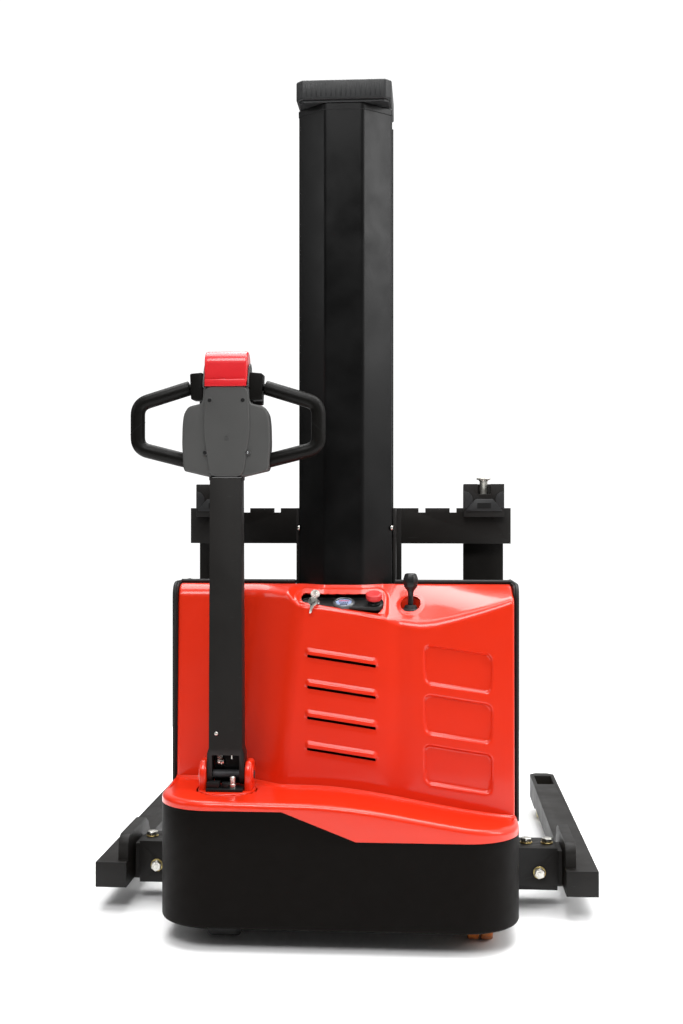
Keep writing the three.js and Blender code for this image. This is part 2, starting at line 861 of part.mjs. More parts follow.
function tillerGroup() {
  const group = new THREE.Group();
  group.position.set(0, 0, pivotZ);
  group.add(
    mesh("tiller_arm", tillerArm(), blackPaint),
    mesh("gas_spring", gasSpring(), steel),
    mesh("head_back_shell", headBackShell(), greyPlastic),
    mesh("head_front_shell", headFrontShell(), greyPlastic),
    mesh("loop_handle_left", loopHandle(-1), rubber),
    mesh("loop_handle_right", loopHandle(1), rubber),
    mesh("belly_button", bellyButton(), redPlastic),
    mesh("throttle", throttle(), blackPlastic),
  );
  const names = ["lift_button", "lower_button", "horn_button"];
  headButtonPlaces.forEach(([x, height], i) => {
    group.add(mesh(names[i], rod(9, 9, "y", x, 39.5, height - pivotZ), blackPlastic));
  });
  return group;
}

// ---------------------------------------------------------------- caster
const casterTrail = 16;

function casterGroup() {
  const group = new THREE.Group();
  group.position.set(casterX, casterY, 0);
  const fork = join(
    block(-35, 35, -22, 32, 98, 104),
    block(-35, -31, -12, 32, 30, 104),
    block(31, 35, -12, 32, 30, 104),
    rod(11, 110, "z", 0, 0, 100),
    rod(6, 66, "x", -33, casterTrail, casterRadius, 16),
  );
  const wheel = new THREE.Group();
  wheel.position.set(0, casterTrail, casterRadius);
  const tyre = (x) => wheelRing(casterRadius, 6.4, 26, 24).translate([x, 0, 0]);
  wheel.add(mesh("caster_wheel", join(tyre(-15), tyre(15), wheelRing(20, 6.4, 30, 24)), amberTyre));
  group.add(mesh("caster_fork", fork, zinc), wheel);
  return group;
}

// ---------------------------------------------------------------- mast
function mastColumn() {
  const tip = mastHalf;
  const web = webHalf;
  const bore = webHalf - mastWall;
  const section = outline([
    [-tip, mastFront], [tip, mastFront], [tip, mastFront + mastWall], [web, mastFront + mastWall],
    [web, mastBack - mastWall], [tip, mastBack - mastWall], [tip, mastBack], [bore, mastBack],
    [bore, mastFront + mastWall], [-bore, mastFront + mastWall], [-bore, mastBack], [-tip, mastBack],
    [-tip, mastBack - mastWall], [-web, mastBack - mastWall], [-web, mastFront + mastWall],
    [-tip, mastFront + mastWall],
  ]);
  return join(
    plan(section, floorTop + gap, mastTop),
    block(-web, web, mastFront, mastBack, floorTop + gap, floorTop + 8),
    block(-web, web, mastFront, mastBack, mastTop - 8, mastTop),
    block(-9, 9, mastFront + 4, railMid - pulleyRadius, 1040, chainFixedEnd),
  );
}

function mastCover() {
  const wall = 3;
  const ring = (inset) => {
    const facet = mastFacet - inset * 0.4;
    return outline([
      [-facet, mastCoverFront + inset], [facet, mastCoverFront + inset],
      [mastHalf - inset, 322 + inset * 0.5],
      [mastHalf - inset, mastFront - 1 + inset], [-mastHalf + inset, mastFront - 1 + inset],
      [-mastHalf + inset, 322 + inset * 0.5],
    ]);
  };
  return cut(plan(ring(0), 300, 1918), plan(ring(wall), 290, 1930));
}

function mastCap() {
  const ring = (inset) =>
    outline([
      [-99 + inset, 252 + inset], [99 - inset, 252 + inset], [113 - inset, 268 + inset],
      [113 - inset, 446 - inset], [-113 + inset, 446 - inset], [-113 + inset, 268 + inset],
    ]);
  return cut(plan(ring(0), 1918 + gap, mastHeight), plan(ring(4), 1910, mastHeight - 6));
}

function liftCylinder() {
  const foot = floorTop + 8 + gap;
  return cut(
    join(
      rod(cylinderRadius, cylinderTop - foot, "z", 0, railMid, foot, 28),
      rod(cylinderRadius + 2, 18, "z", 0, railMid, cylinderTop - 18, 28),
    ),
    rod(16.5, 1000, "z", 0, railMid, 175, 28),
  );
}

function crosshead() {
  return join(
    block(-20, 20, railMid - 15, railMid + 15, 1372, 1384),
    block(-20, -12, railMid - 15, railMid + 15, 1372, 1436),
    block(12, 20, railMid - 15, railMid + 15, 1372, 1436),
    rod(8, 36, "x", -18, railMid, pulleyZ, 20),
  );
}

// The chain: up from its fixed end, over the pulley, down to the carriage.
function liftChain() {
  const inner = pulleyRadius + 0.4;
  const outer = inner + 6;
  const shape = new THREE.Shape();
  shape.moveTo(railMid + inner, chainLiftEnd + gap);
  shape.lineTo(railMid + outer, chainLiftEnd + gap);
  shape.lineTo(railMid + outer, pulleyZ);
  shape.absarc(railMid, pulleyZ, outer, 0, Math.PI);
  shape.lineTo(railMid - outer, chainFixedEnd + gap);
  shape.lineTo(railMid - inner, chainFixedEnd + gap);
  shape.lineTo(railMid - inner, pulleyZ);
  shape.absarc(railMid, pulleyZ, inner, Math.PI, 0, true);
  shape.lineTo(railMid + inner, chainLiftEnd + gap);
  return side(shape, -8, 8, 10);
}

function mastPieces() {
  const pulley = new THREE.Group();
  pulley.position.set(0, railMid, pulleyZ);
  pulley.add(mesh("chain_pulley", wheelRing(pulleyRadius, 8.4, 20, 24), steel));
  return [
    mesh("mast_column", mastColumn(), blackPaint),
    mesh("mast_cover", mastCover(), blackPaint),
    mesh("mast_cap", mastCap(), blackPlastic),
    mesh("lift_cylinder", liftCylinder(), blackPaint),
    mesh("piston_rod", rod(16, 1371.7 - 400, "z", 0, railMid, 400, 28), steel),
    mesh("crosshead", crosshead(), castIron),
    mesh("lift_chain", liftChain(), steel),
    pulley,
  ];
}

// ---------------------------------------------------------------- carriage and forks
const lipWidth = 61; // raised parts of the fork bar, with notches between them
const lipPitch = 78;
const lipStart = 113;
const rollerPinInner = 70;

function carriage() {
  const barBack = barFront + barThick;
  const bar = (bottom, top) => block(-barHalf, barHalf, barFront, barBack, bottom, top);
  const cheekFoot = 600;
  const cheek = (inner, thin, outer) => {
    const post = [Math.min(inner, outer), Math.max(inner, outer)];
    const plate = [Math.min(inner, thin), Math.max(inner, thin)];
    return join(
      block(...post, barFront - 6, barBack, lowerBarBottom, lipTop),
      block(...plate, mastFront + 6, barFront, cheekFoot, lipTop),
    );
  };
  const lips = [];
  for (let x0 = lipStart; x0 < barHalf - lipWidth / 2; x0 += lipPitch) {
    const x1 = Math.min(x0 + lipWidth, barHalf);
    lips.push([x0, x1], [-x1, -x0]);
  }
  const pinLength = cheekThin - 1 - rollerPinInner;
  const pins = rollerZ.flatMap((z) =>
    [rollerPinInner, 1 - cheekThin].map((x) => rod(13, pinLength, "x", x, railMid, z)),
  );
  return join(
    bar(barTop - 78, barTop),
    bar(lowerBarBottom, lowerBarBottom + 76),
    cheek(cheekInner, cheekThin, cheekOuter),
    cheek(-cheekInner, -cheekThin, -cheekOuter),
    ...lips.map(([x0, x1]) => block(x0, x1, barFront, barFront + 12, barTop - 2, lipTop)),
    block(-130, 130, barFront, barBack, 690, 730),
    block(-14, 14, railMid + 28, barFront + 4, 696, chainLiftEnd),
    ...pins,
  );
}

function fork() {
  const back = forkFront + forkThick;
  const top = forkUnderside + 40;
  const profile = outline([
    [forkFront, forkUnderside], [1500, forkUnderside + 12], [overallLength, forkUnderside + 24],
    [overallLength, forkUnderside + 32], [overallLength - 30, top], [back + 22, top],
    [back + 6, top + 6], [back, top + 22], [back, hookTop - 13], [back - 10, hookTop],
    [hookFront, hookTop], [hookFront, barTop - 11], [barFront - 1, barTop - 11],
    [barFront - 1, lipTop + 1], [forkFront, lipTop + 1],
  ]);
  const w = forkWidth / 2;
  const shape = plan(
    outline([[-w, 0], [w, 0], [w, 1520], [30, overallLength], [-30, overallLength], [-w, 1520]]),
    0,
    1200,
  );
  const lowerHook = side(
    outline([
      [hookFront, lowerBarBottom - 30], [forkFront + 4, lowerBarBottom - 30],
      [forkFront + 4, lowerBarBottom - 1], [barFront - 1, lowerBarBottom - 1],
      [barFront - 1, lowerBarBottom + 17], [hookFront, lowerBarBottom + 17],
    ]),
    -w,
    w,
  );
  const slot = block(-16, 16, barFront - 30, pinY, 998, 1100);
  const body = join(side(profile, -w, w).intersect(shape), lowerHook);
  return cut(body, slot, rod(10.4, 120, "z", 0, pinY, barTop - 2));
}

function forkPin() {
  return join(rod(10, 1036 - lipTop - 2, "z", 0, pinY, lipTop + 2), rod(17, 6, "z", 0, pinY, 1033));
}

function carriagePieces() {
  const pieces = [mesh("carriage", carriage(), blackPaint)];
  for (const [name, sign] of [["left", -1], ["right", 1]]) {
    const forks = [
      mesh(`fork_${name}`, fork(), blackPaint),
      mesh(`fork_pin_${name}`, forkPin(), zinc),
    ];
    forks.forEach((piece) => piece.position.setX(sign * forkX));
    pieces.push(...forks);
    rollerZ.forEach((z, i) => {
      const level = i ? "upper" : "lower";
      const roller = mesh(`mast_roller_${name}_${level}`, wheelRing(46.4, 13.4, 34, 24), steel);
      roller.position.set(sign * rollerX, railMid, z);
      pieces.push(roller);
    });
  }
  return pieces;
}

// ---------------------------------------------------------------- straddle legs
const wheelY = 1262;
const toeBottom = 46;

// The right leg; the left one is its mirror image.
function leg(sign) {
  const outer = legInner + legWidth;
  const chamfer = 18;
  const foot = outline([
    [legInner, legNear], [outer, legNear], [outer, legFar - chamfer], [outer - chamfer, legFar],
    [legInner + chamfer, legFar], [legInner, legFar - chamfer],
  ]);
  const profile = outline([
    [legNear, legBottom], [wheelY - 132, legBottom], [wheelY - 82, toeBottom],
    [legFar, toeBottom], [legFar, legTop], [legNear, legTop],
  ]);
  const beam = plan(foot, 0, 200).intersect(side(profile, 0, 700));
  const gusset = new THREE.Shape();
  gusset.moveTo(284, legBottom);
  gusset.lineTo(520, legBottom);
  gusset.lineTo(520, 128);
  gusset.lineTo(500, 160);
  gusset.lineTo(470, 175);
  gusset.lineTo(312, 175);
  gusset.absarc(312, 147, 28, Math.PI / 2, Math.PI);
  gusset.lineTo(284, legBottom);
  const stubHalf = tubeSize / 2 - tubeWall - gap;
  const stubBore = stubHalf - 8;
  const tubeZ = tubeBottom + tubeSize / 2;
  const stub = cut(
    block(320, legInner + 4, tubeMid - stubHalf, tubeMid + stubHalf, tubeZ - stubHalf, tubeZ + stubHalf),
    block(300, 500, tubeMid - stubBore, tubeMid + stubBore, tubeZ - stubBore, tubeZ + stubBore),
  );
  const shape = cut(
    join(beam, side(gusset, legInner, legInner + 25), stub),
    block(legInner + 12, outer - 12, wheelY - 60, wheelY + 62, 0, 200),
    block(legInner + 8, outer - 8, legNear + 8, wheelY - 50, legBottom + 8, legTop - 8),
  );
  const axle = rod(8, legWidth - 4, "x", legInner + 2, wheelY, loadRadius);
  return sign > 0 ? shape.add(axle) : shape.add(axle).mirror([1, 0, 0]);
}

function legPieces() {
  const pieces = [];
  for (const [name, sign] of [["left", -1], ["right", 1]]) {
    const x = sign * (legInner + legWidth / 2);
    const wheel = mesh(`load_wheel_${name}`, wheelRing(loadRadius, 8.3, 46, 32), creamTyre);
    wheel.position.set(x, wheelY, loadRadius);
    pieces.push(mesh(`leg_${name}`, leg(sign), blackPaint), wheel);
  }
  return pieces;
}

// ---------------------------------------------------------------- the whole truck
const truck = new THREE.Group();
truck.position.y = -overallLength / 2;
truck.add(
  mesh("chassis_frame", chassisFrame(), blackPaint),
  mesh("skirt", skirt(), blackPlastic),
  mesh("shelf_cover", shelfCover(), redPaint),
  mesh("front_cover", frontCover(), redPaint),
  mesh("slew_ring", slewRing(), steel),
  ...legBolts(),
  ...powerPack(),
  consoleGroup(),
  leverGroup(),
  steeringGroup(),
  casterGroup(),
  ...mastPieces(),
  ...carriagePieces(),
  ...legPieces(),
);

const walkieStacker = new THREE.Group();
walkieStacker.add(truck);

export default walkieStacker;
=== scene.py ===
"""The looks of a walkie stacker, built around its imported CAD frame.

Metres, +Z up, forks towards +Y. Places come from the boxes of the CAD nodes.
"""

import math

import bmesh
import bpy
import numpy as np
from mathutils import Matrix, Vector

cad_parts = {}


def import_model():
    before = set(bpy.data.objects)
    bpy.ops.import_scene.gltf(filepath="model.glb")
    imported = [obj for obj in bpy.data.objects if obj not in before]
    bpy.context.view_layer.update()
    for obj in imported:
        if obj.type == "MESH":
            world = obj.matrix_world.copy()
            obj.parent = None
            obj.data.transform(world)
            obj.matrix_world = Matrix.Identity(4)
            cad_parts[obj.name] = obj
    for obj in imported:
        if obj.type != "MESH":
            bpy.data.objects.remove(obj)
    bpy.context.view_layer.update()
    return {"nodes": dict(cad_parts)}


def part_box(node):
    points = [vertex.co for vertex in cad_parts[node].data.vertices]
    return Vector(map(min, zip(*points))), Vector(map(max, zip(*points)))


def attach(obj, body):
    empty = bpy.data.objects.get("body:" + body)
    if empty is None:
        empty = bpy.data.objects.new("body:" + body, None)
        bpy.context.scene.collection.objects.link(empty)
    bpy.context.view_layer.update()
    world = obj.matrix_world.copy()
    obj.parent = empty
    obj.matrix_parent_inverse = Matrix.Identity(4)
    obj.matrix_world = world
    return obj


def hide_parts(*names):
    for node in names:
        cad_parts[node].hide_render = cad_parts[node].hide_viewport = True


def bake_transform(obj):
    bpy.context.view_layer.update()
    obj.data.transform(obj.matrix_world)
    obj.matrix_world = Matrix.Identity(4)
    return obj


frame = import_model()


class Span:
    """A CAD node's box, with its corners as plain numbers."""

    def __init__(self, node):
        low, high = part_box(node)
        self.x0, self.y0, self.z0 = low
        self.x1, self.y1, self.z1 = high
        self.x, self.y, self.z = (low + high) / 2


skirt_box = Span("skirt")
cover_box = Span("front_cover")
shelf_box = Span("shelf_cover")
mast_cover_box = Span("mast_cover")
mast_box = Span("mast_column")
cap_box = Span("mast_cap")
carriage_box = Span("carriage")
arm_box = Span("tiller_arm")
head_box = Span("head_back_shell")
FRONT = skirt_box.y0  # the skirt's front face
HALF = skirt_box.x1  # half the chassis width
QUARTER_TURN, HALF_TURN, FULL_TURN = math.pi / 2, math.pi, 2 * math.pi

# ---------------------------------------------------------------- small maths


def clamp(value, low, high):
    return np.minimum(np.maximum(value, low), high)


def smoothstep(start, end, value):
    t = clamp((np.asarray(value, float) - start) / (end - start), 0.0, 1.0)
    return t * t * (3 - 2 * t)


def lerp(a, b, t):
    return a + (b - a) * t


def spaced(stops, step):
    """Numbers that run through all the stops, about one step apart."""
    run = [stops[0]]
    for a, b in zip(stops, stops[1:]):
        count = max(1, round(abs(b - a) / step))
        run += [lerp(a, b, k / count) for k in range(1, count + 1)]
    return np.array(run)


def rounded_box_distance(x, y, half_width, half_height, radius):
    """Distance to a rounded rectangle about the origin, negative inside."""
    dx = np.abs(x) - half_width + radius
    dy = np.abs(y) - half_height + radius
    outside = np.hypot(np.maximum(dx, 0), np.maximum(dy, 0))
    return outside + np.minimum(np.maximum(dx, dy), 0) - radius


# ---------------------------------------------------------------- shapes as points and faces
def box(x0, x1, y0, y1, z0, z1):
    points = [(x, y, z) for x in (x0, x1) for y in (y0, y1) for z in (z0, z1)]
    faces = [(0, 1, 3, 2), (4, 6, 7, 5), (0, 4, 5, 1), (2, 3, 7, 6), (0, 2, 6, 4), (1, 5, 7, 3)]
    return np.array(points), faces


def skin(rings, capped=True, looped=False):
    """Quads through equal rings of points, closed by a flat face at each end."""
    rings = [np.asarray(r, float) for r in rings]
    count = len(rings[0])
    faces = []
    steps = len(rings) if looped else len(rings) - 1
    for r in range(steps):
        start, after = r * count, ((r + 1) % len(rings)) * count
        for i in range(count):
            j = (i + 1) % count
            faces.append((start + i, start + j, after + j, after + i))
    if capped and not looped:
        faces.append(tuple(reversed(range(count))))
        faces.append(tuple((len(rings) - 1) * count + i for i in range(count)))
    return np.concatenate(rings), faces


def along(axis, a, b, c):
    """A point with c along the axis and a, b across it."""
    return {"x": (c, a, b), "y": (a, c, b), "z": (a, b, c)}[axis]


def prism(outline, axis, start, end):
    """An outline of (a, b) points pushed along an axis."""
    return skin([[along(axis, a, b, c) for a, b in outline] for c in (start, end)])


def circle(radius, count, centre=(0.0, 0.0), turn=0.0):
    angles = [2 * math.pi * k / count + turn for k in range(count)]
    return [(centre[0] + radius * math.cos(a), centre[1] + radius * math.sin(a)) for a in angles]


def lathe(profile, axis, centre, count=48):
    """A closed ring of (radius, height) points turned about an axis through centre.

    A profile whose ends have no radius makes a solid; any other one is closed on itself.
    """
    solid = profile[0][0] == 0 and profile[-1][0] == 0
    body = profile[1:-1] if solid else profile
    rings = [[along(axis, a, b, h) for a, b in circle(r, count)] for r, h in body]
    points, faces = skin(rings, capped=False, looped=not solid)
    if solid:
        for end, first in ((profile[0][1], 0), (profile[-1][1], (len(body) - 1) * count)):
            points = np.vstack([points, along(axis, 0, 0, end)])
            tip = len(points) - 1
            faces += [(first + i, first + (i + 1) % count, tip) for i in range(count)]
    return points + np.array(centre), faces


def rod(radius, start, end, axis, centre, count=24):
    """A plain cylinder between two places along its axis."""
    return lathe([(0, start), (radius, start), (radius, end), (0, end)], axis, centre, count)


def sweep(path, radius, count=16):
    """A round bar along a path; radius is one number or one for each point."""
    path = [Vector(p) for p in path]
    radii = [radius] * len(path) if np.isscalar(radius) else radius
    rings = []
    normal = None
    for i, point in enumerate(path):
        tangent = (path[min(i + 1, len(path) - 1)] - path[max(i - 1, 0)]).normalized()
        if normal is None:
            guide = Vector((0, 0, 1)) if abs(tangent.z) < 0.9 else Vector((0, 1, 0))
            normal = tangent.cross(guide).normalized()
        normal = (normal - tangent * normal.dot(tangent)).normalized()
        other = tangent.cross(normal)
        rings.append([point + normal * a + other * b for a, b in circle(radii[i], count)])
    return skin(rings)


def smooth_path(corners, radius, steps=6):
    """The corners joined by straight lines, with each inner corner rounded by an arc-like curve."""
    corners = [Vector(c) for c in corners]
    path = [corners[0]]
    for before, corner, after in zip(corners, corners[1:], corners[2:]):
        cut = min(radius, (corner - before).length / 2, (after - corner).length / 2)
        a = corner + (before - corner).normalized() * cut
        b = corner + (after - corner).normalized() * cut
        for k in range(steps + 1):
            t = k / steps
            path.append(a.lerp(corner, t).lerp(corner.lerp(b, t), t))
    path.append(corners[-1])
    return path


def rounded_outline(corners, radius, steps=4):
    """A closed outline of (a, b) corners with every corner rounded."""
    points = [Vector((a, b, 0)) for a, b in corners]
    made = []
    for i, corner in enumerate(points):
        before, after = points[i - 1], points[(i + 1) % len(points)]
        cut = min(radius, (corner - before).length * 0.45, (after - corner).length * 0.45)
        a = corner + (before - corner).normalized() * cut
        b = corner + (after - corner).normalized() * cut
        for k in range(steps + 1):
            t = k / steps
            p = a.lerp(corner, t).lerp(corner.lerp(b, t), t)
            made.append((p.x, p.y))
    return made


def mirror_outline(right):
    """The right half of an outline, given from the bottom up, joined to its mirror image."""
    return right + [(-a, b) for a, b in reversed(right)]


def shifted(outline, a0, b0=0.0):
    return [(a0 + a, b0 + b) for a, b in outline]


def flipped(profile, sign):
    """A lathe's profile, turned round to point the other way where sign is -1."""
    return [(radius, sign * height) for radius, height in profile]


def quarter_round(radius, steps):
    """(inwards, upwards) pairs of a rounded edge that starts upright and ends level."""
    turns = spaced([0.0, QUARTER_TURN], QUARTER_TURN / steps)
    return [(radius * (1 - math.cos(a)), radius * math.sin(a)) for a in turns]


def inset(outline, distance):
    """The outline moved inwards, each point along its own corner's normal."""
    pts = np.array(outline, float)
    edge = np.roll(pts, -1, axis=0) - pts
    edge /= np.maximum(np.linalg.norm(edge, axis=1, keepdims=True), 1e-12)
    normal = np.stack([-edge[:, 1], edge[:, 0]], axis=1)
    area = np.sum(pts[:, 0] * np.roll(pts[:, 1], -1) - pts[:, 1] * np.roll(pts[:, 0], -1))
    both = normal + np.roll(normal, 1, axis=0)
    both /= np.maximum(np.linalg.norm(both, axis=1, keepdims=True), 1e-9)
    share = np.maximum(np.sum(both * normal, axis=1, keepdims=True), 0.5)
    return pts + both / share * distance * (1 if area > 0 else -1)


def pillow(outline, axis, start, end, edge, steps=4, both=True):
    """A prism whose edges at end, and at start too if both, are rounded over."""
    sign = 1 if end > start else -1
    turns = [math.pi / 2 * k / steps for k in range(steps + 1)]
    profile = [(edge * (1 - math.cos(t)), end - sign * edge * (1 - math.sin(t))) for t in turns]
    if both:
        first = [(edge * (1 - math.cos(t)), start + sign * edge * (1 - math.sin(t))) for t in turns]
        profile = first[::-1] + profile
    else:
        profile.insert(0, (0.0, start))
    return skin([[along(axis, a, b, c) for a, b in inset(outline, d)] for d, c in profile])


def moved(shape, matrix):
    points, faces = shape
    return np.array([matrix @ Vector(p) for p in points]), faces

# ---------------------------------------------------------------- materials


def linear(red, green, blue):
    """A screen colour, 0 to 255, as the linear colour that the shaders use."""

    def channel(value):
        value /= 255
        return value / 12.92 if value <= 0.04045 else ((value + 0.055) / 1.055) ** 2.4

    return (channel(red), channel(green), channel(blue), 1.0)


class Finish:
    """A node material under construction; its patterns use the piece's own coordinates."""

    def __init__(self, name):
        self.material = bpy.data.materials.new(name)
        self.material.use_nodes = True
        self.nodes = self.material.node_tree.nodes
        self.links = self.material.node_tree.links
        self.shader = self.nodes["Principled BSDF"]
        self.coordinates = self.nodes.new("ShaderNodeTexCoord").outputs["Object"]

    def set(self, **values):
        """Plain values for the shader's inputs, such as Coat_Weight=0.4."""
        for name, value in values.items():
            self.shader.inputs[name.replace("_", " ")].default_value = value
        return self

    def drive(self, name, output):
        self.links.new(output, self.shader.inputs[name])
        return self

    def texture(self, kind, scale, stretch=(1, 1, 1)):
        """A texture with about this many cells to the metre, on the piece's own coordinates."""
        mapping = self.nodes.new("ShaderNodeMapping")
        mapping.inputs["Scale"].default_value = stretch
        self.links.new(self.coordinates, mapping.inputs["Vector"])
        node = self.nodes.new(kind)
        node.inputs["Scale"].default_value = scale
        self.links.new(mapping.outputs["Vector"], node.inputs["Vector"])
        return node

    def noise(self, scale, detail=3.0, stretch=(1, 1, 1)):
        node = self.texture("ShaderNodeTexNoise", scale, stretch)
        node.inputs["Detail"].default_value = detail
        return node.outputs["Fac"]

    def cells(self, scale):
        return self.texture("ShaderNodeTexVoronoi", scale).outputs["Distance"]

    def cloud(self, scale, detail=3.0, low=0.3, high=0.7):
        """Soft noise spread over 0 to 1."""
        return self.range(self.noise(scale, detail), low, high, 0, 1)

    def rough(self, scale, low, high):
        """Roughness that wanders between two values."""
        return self.drive("Roughness", self.range(self.noise(scale), 0.3, 0.7, low, high))

    def range(self, source, low, high, out_low, out_high):
        node = self.nodes.new("ShaderNodeMapRange")
        for socket, value in zip(list(node.inputs)[1:5], (low, high, out_low, out_high)):
            socket.default_value = value
        self.links.new(source, node.inputs["Value"])
        return node.outputs["Result"]

    def mix(self, factor, first, second):
        node = self.nodes.new("ShaderNodeMix")
        node.data_type = "RGBA"
        self.links.new(factor, node.inputs["Factor"])
        for socket, value in ((node.inputs[6], first), (node.inputs[7], second)):
            if isinstance(value, tuple):
                socket.default_value = value
            else:
                self.links.new(value, socket)
        return node.outputs[2]

    def bump(self, *layers):
        """Adds height patterns, each (output, strength, distance in metres)."""
        last = None
        for height, strength, distance in layers:
            node = self.nodes.new("ShaderNodeBump")
            node.inputs["Strength"].default_value = strength
            node.inputs["Distance"].default_value = distance
            self.links.new(height, node.inputs["Height"])
            if last is not None:
                self.links.new(last, node.inputs["Normal"])
            last = node.outputs["Normal"]
        return self.drive("Normal", last)

    def edges(self):
        """1 on outward edges, 0 on flat faces."""
        pointiness = self.nodes.new("ShaderNodeNewGeometry").outputs["Pointiness"]
        return self.range(pointiness, 0.52, 0.62, 0, 1)


def grey(value):
    return (value, value, value, 1.0)


def scaled(colour, factor):
    return tuple(channel * factor for channel in colour[:3]) + (1.0,)


def gloss_paint(name, colour):
    """Sprayed enamel: a deep colour under clear coat, with faint orange peel."""
    f = Finish(name)
    f.drive("Base Color", f.mix(f.cloud(3.5, 2.0), scaled(colour, 0.955), colour))
    f.rough(22.0, 0.28, 0.33)
    f.bump((f.noise(210.0, 1.0), 0.05, 0.0004), (f.noise(7.0, 1.0), 0.03, 0.0010))
    return f.set(Coat_Weight=0.38, Coat_Roughness=0.07, Specular_IOR_Level=0.28).material


def powder_coat(name, colour, worn, roughness, dust=0.4):
    """Satin black on steel: fine grain, cloudy sheen, rubbed edges and a few light scuffs."""
    f = Finish(name)
    tone = f.mix(f.cloud(7.0, 4.0, 0.35, 0.72), colour, scaled(colour, 1.35))
    scuff = f.range(f.noise(30.0, 5.0, (1.0, 1.0, 5.0)), 0.665, 0.74, 0, dust)
    tone = f.mix(scuff, tone, worn)
    tone = f.mix(f.range(f.edges(), 0, 1, 0, 0.55), tone, worn)
    f.drive("Base Color", tone)
    f.rough(14.0, roughness - 0.05, roughness + 0.07)
    f.bump((f.noise(900.0, 2.0), 0.16, 0.0004), (f.noise(60.0, 2.0), 0.08, 0.0008))
    return f.set(Specular_IOR_Level=0.2).material


def moulded(name, colour, roughness, grain=1400.0, coat=0.0, shine=0.25):
    """Moulded plastic or rubber with a fine leather-like grain."""
    f = Finish(name)
    f.drive("Base Color", f.mix(f.cloud(9.0), scaled(colour, 0.92), scaled(colour, 1.08)))
    f.rough(35.0, roughness - 0.04, roughness + 0.05)
    f.bump((f.cells(grain), 0.22, 0.0003), (f.noise(25.0, 2.0), 0.06, 0.001))
    return f.set(Coat_Weight=coat, Coat_Roughness=0.12, Specular_IOR_Level=shine).material


def bare_metal(name, colour, roughness, stretch=(1, 1, 1), stain=None):
    """Plated or machined metal with brushing along one direction and faint tarnish."""
    f = Finish(name)
    tarnish = f.range(f.noise(45.0, 4.0), 0.45, 0.75, 0, 0.6)
    f.drive("Base Color", f.mix(tarnish, colour, stain or scaled(colour, 0.7)))
    f.drive("Roughness", f.range(f.noise(160.0, 3.0, stretch), 0.3, 0.7, roughness - 0.08, roughness + 0.1))
    f.bump((f.noise(500.0, 2.0, stretch), 0.15, 0.0002))
    return f.set(Metallic=1.0).material


def tyre(name, colour, roughness, glow=0.0):
    """Polyurethane tread: slightly milky, marked by the floor."""
    f = Finish(name)
    dirt = f.range(f.noise(60.0, 5.0), 0.48, 0.7, 0, 0.55)
    f.drive("Base Color", f.mix(dirt, colour, scaled(colour, 0.45)))
    f.rough(80.0, roughness - 0.06, roughness + 0.08)
    f.bump((f.noise(240.0), 0.2, 0.0005))
    return f.set(Subsurface_Weight=glow, Subsurface_Scale=0.004).material


def cast_surface(name, colour):
    """Sand-cast iron: cloudy and grainy."""
    f = Finish(name)
    f.drive("Base Color", f.mix(f.cloud(30.0, 5.0, 0.35), scaled(colour, 0.7), scaled(colour, 1.2)))
    f.rough(90.0, 0.5, 0.7)
    f.bump((f.noise(420.0, 4.0), 0.45, 0.0006))
    return f.set(Metallic=0.6).material


def clear_glass(name):
    """The gauge's lens: a thin clear plastic that shows the dial through it."""
    f = Finish(name)
    f.rough(40.0, 0.03, 0.07)
    return f.set(Base_Color=(0.9, 0.93, 1.0, 1.0), Transmission_Weight=1.0, IOR=1.2).material


def dial_face(name):
    """The gauge's pale blue dial."""
    f = Finish(name)
    f.drive("Base Color", f.mix(f.cloud(50.0), linear(150, 166, 196), linear(176, 190, 214)))
    return f.set(Roughness=0.35).material


RED = gloss_paint("red_gloss_paint", linear(208, 41, 13))
BLACK_STEEL = powder_coat("black_powder_coat", (0.0036, 0.0027, 0.0019, 1), grey(0.030), 0.50)
BLACK_MAST = powder_coat("black_satin_mast", grey(0.0012), grey(0.012), 0.34, dust=0.03)
BLACK_SKIRT = moulded("black_skirt_plastic", (0.0016, 0.0008, 0.0003, 1), 0.54, grain=1100.0, shine=0.08)
BLACK_CAP = moulded("black_cap_plastic", (0.020, 0.0205, 0.021, 1), 0.44)
BLACK_TRIM = moulded("black_edge_rubber", grey(0.010), 0.55, grain=700.0)
GRIP = moulded("black_grip_rubber", (0.0026, 0.0023, 0.0018, 1), 0.42, grain=1700.0, shine=0.14)
KNOB = moulded("black_knob_plastic", grey(0.010), 0.33)
GREY = moulded("grey_head_plastic", linear(70, 70, 69), 0.42)
BUTTON_RED = moulded("red_button_plastic", linear(204, 32, 38), 0.40, grain=1800.0, coat=0.6)
STOP_RED = moulded("red_stop_plastic", linear(188, 46, 46), 0.40, grain=1800.0)
BEZEL = moulded("smoky_bezel_plastic", (0.058, 0.062, 0.067, 1), 0.22, grain=900.0, coat=0.5)
ZINC = bare_metal("zinc_plate", linear(205, 203, 196), 0.30)
PIN_ZINC = bare_metal("dull_zinc_plate", linear(222, 220, 212), 0.52)
YELLOW_ZINC = bare_metal("yellow_zinc_plate", linear(196, 178, 120), 0.34, stain=linear(160, 120, 60))
STEEL = bare_metal("bright_steel", linear(178, 178, 180), 0.24, stretch=(1, 1, 14))
IRON = cast_surface("cast_iron", linear(62, 62, 64))
DRIVE_TYRE = tyre("drive_tyre", grey(0.03), 0.55)
AMBER = tyre("amber_tyre", linear(176, 96, 34), 0.36, glow=0.15)
CREAM = tyre("cream_tyre", linear(228, 214, 176), 0.42, glow=0.1)
BATTERY = moulded("battery_case", grey(0.03), 0.5, grain=600.0)
DIAL = dial_face("gauge_dial")
LENS = clear_glass("gauge_lens")
# Near-black that paints the shade inside holes, a slot and the cover's interior, and also colours the grips'
# seam lines
SHADE_AND_SEAM_BLACK = moulded("painted_shade_and_seam_black", grey(0.0022), 0.7)

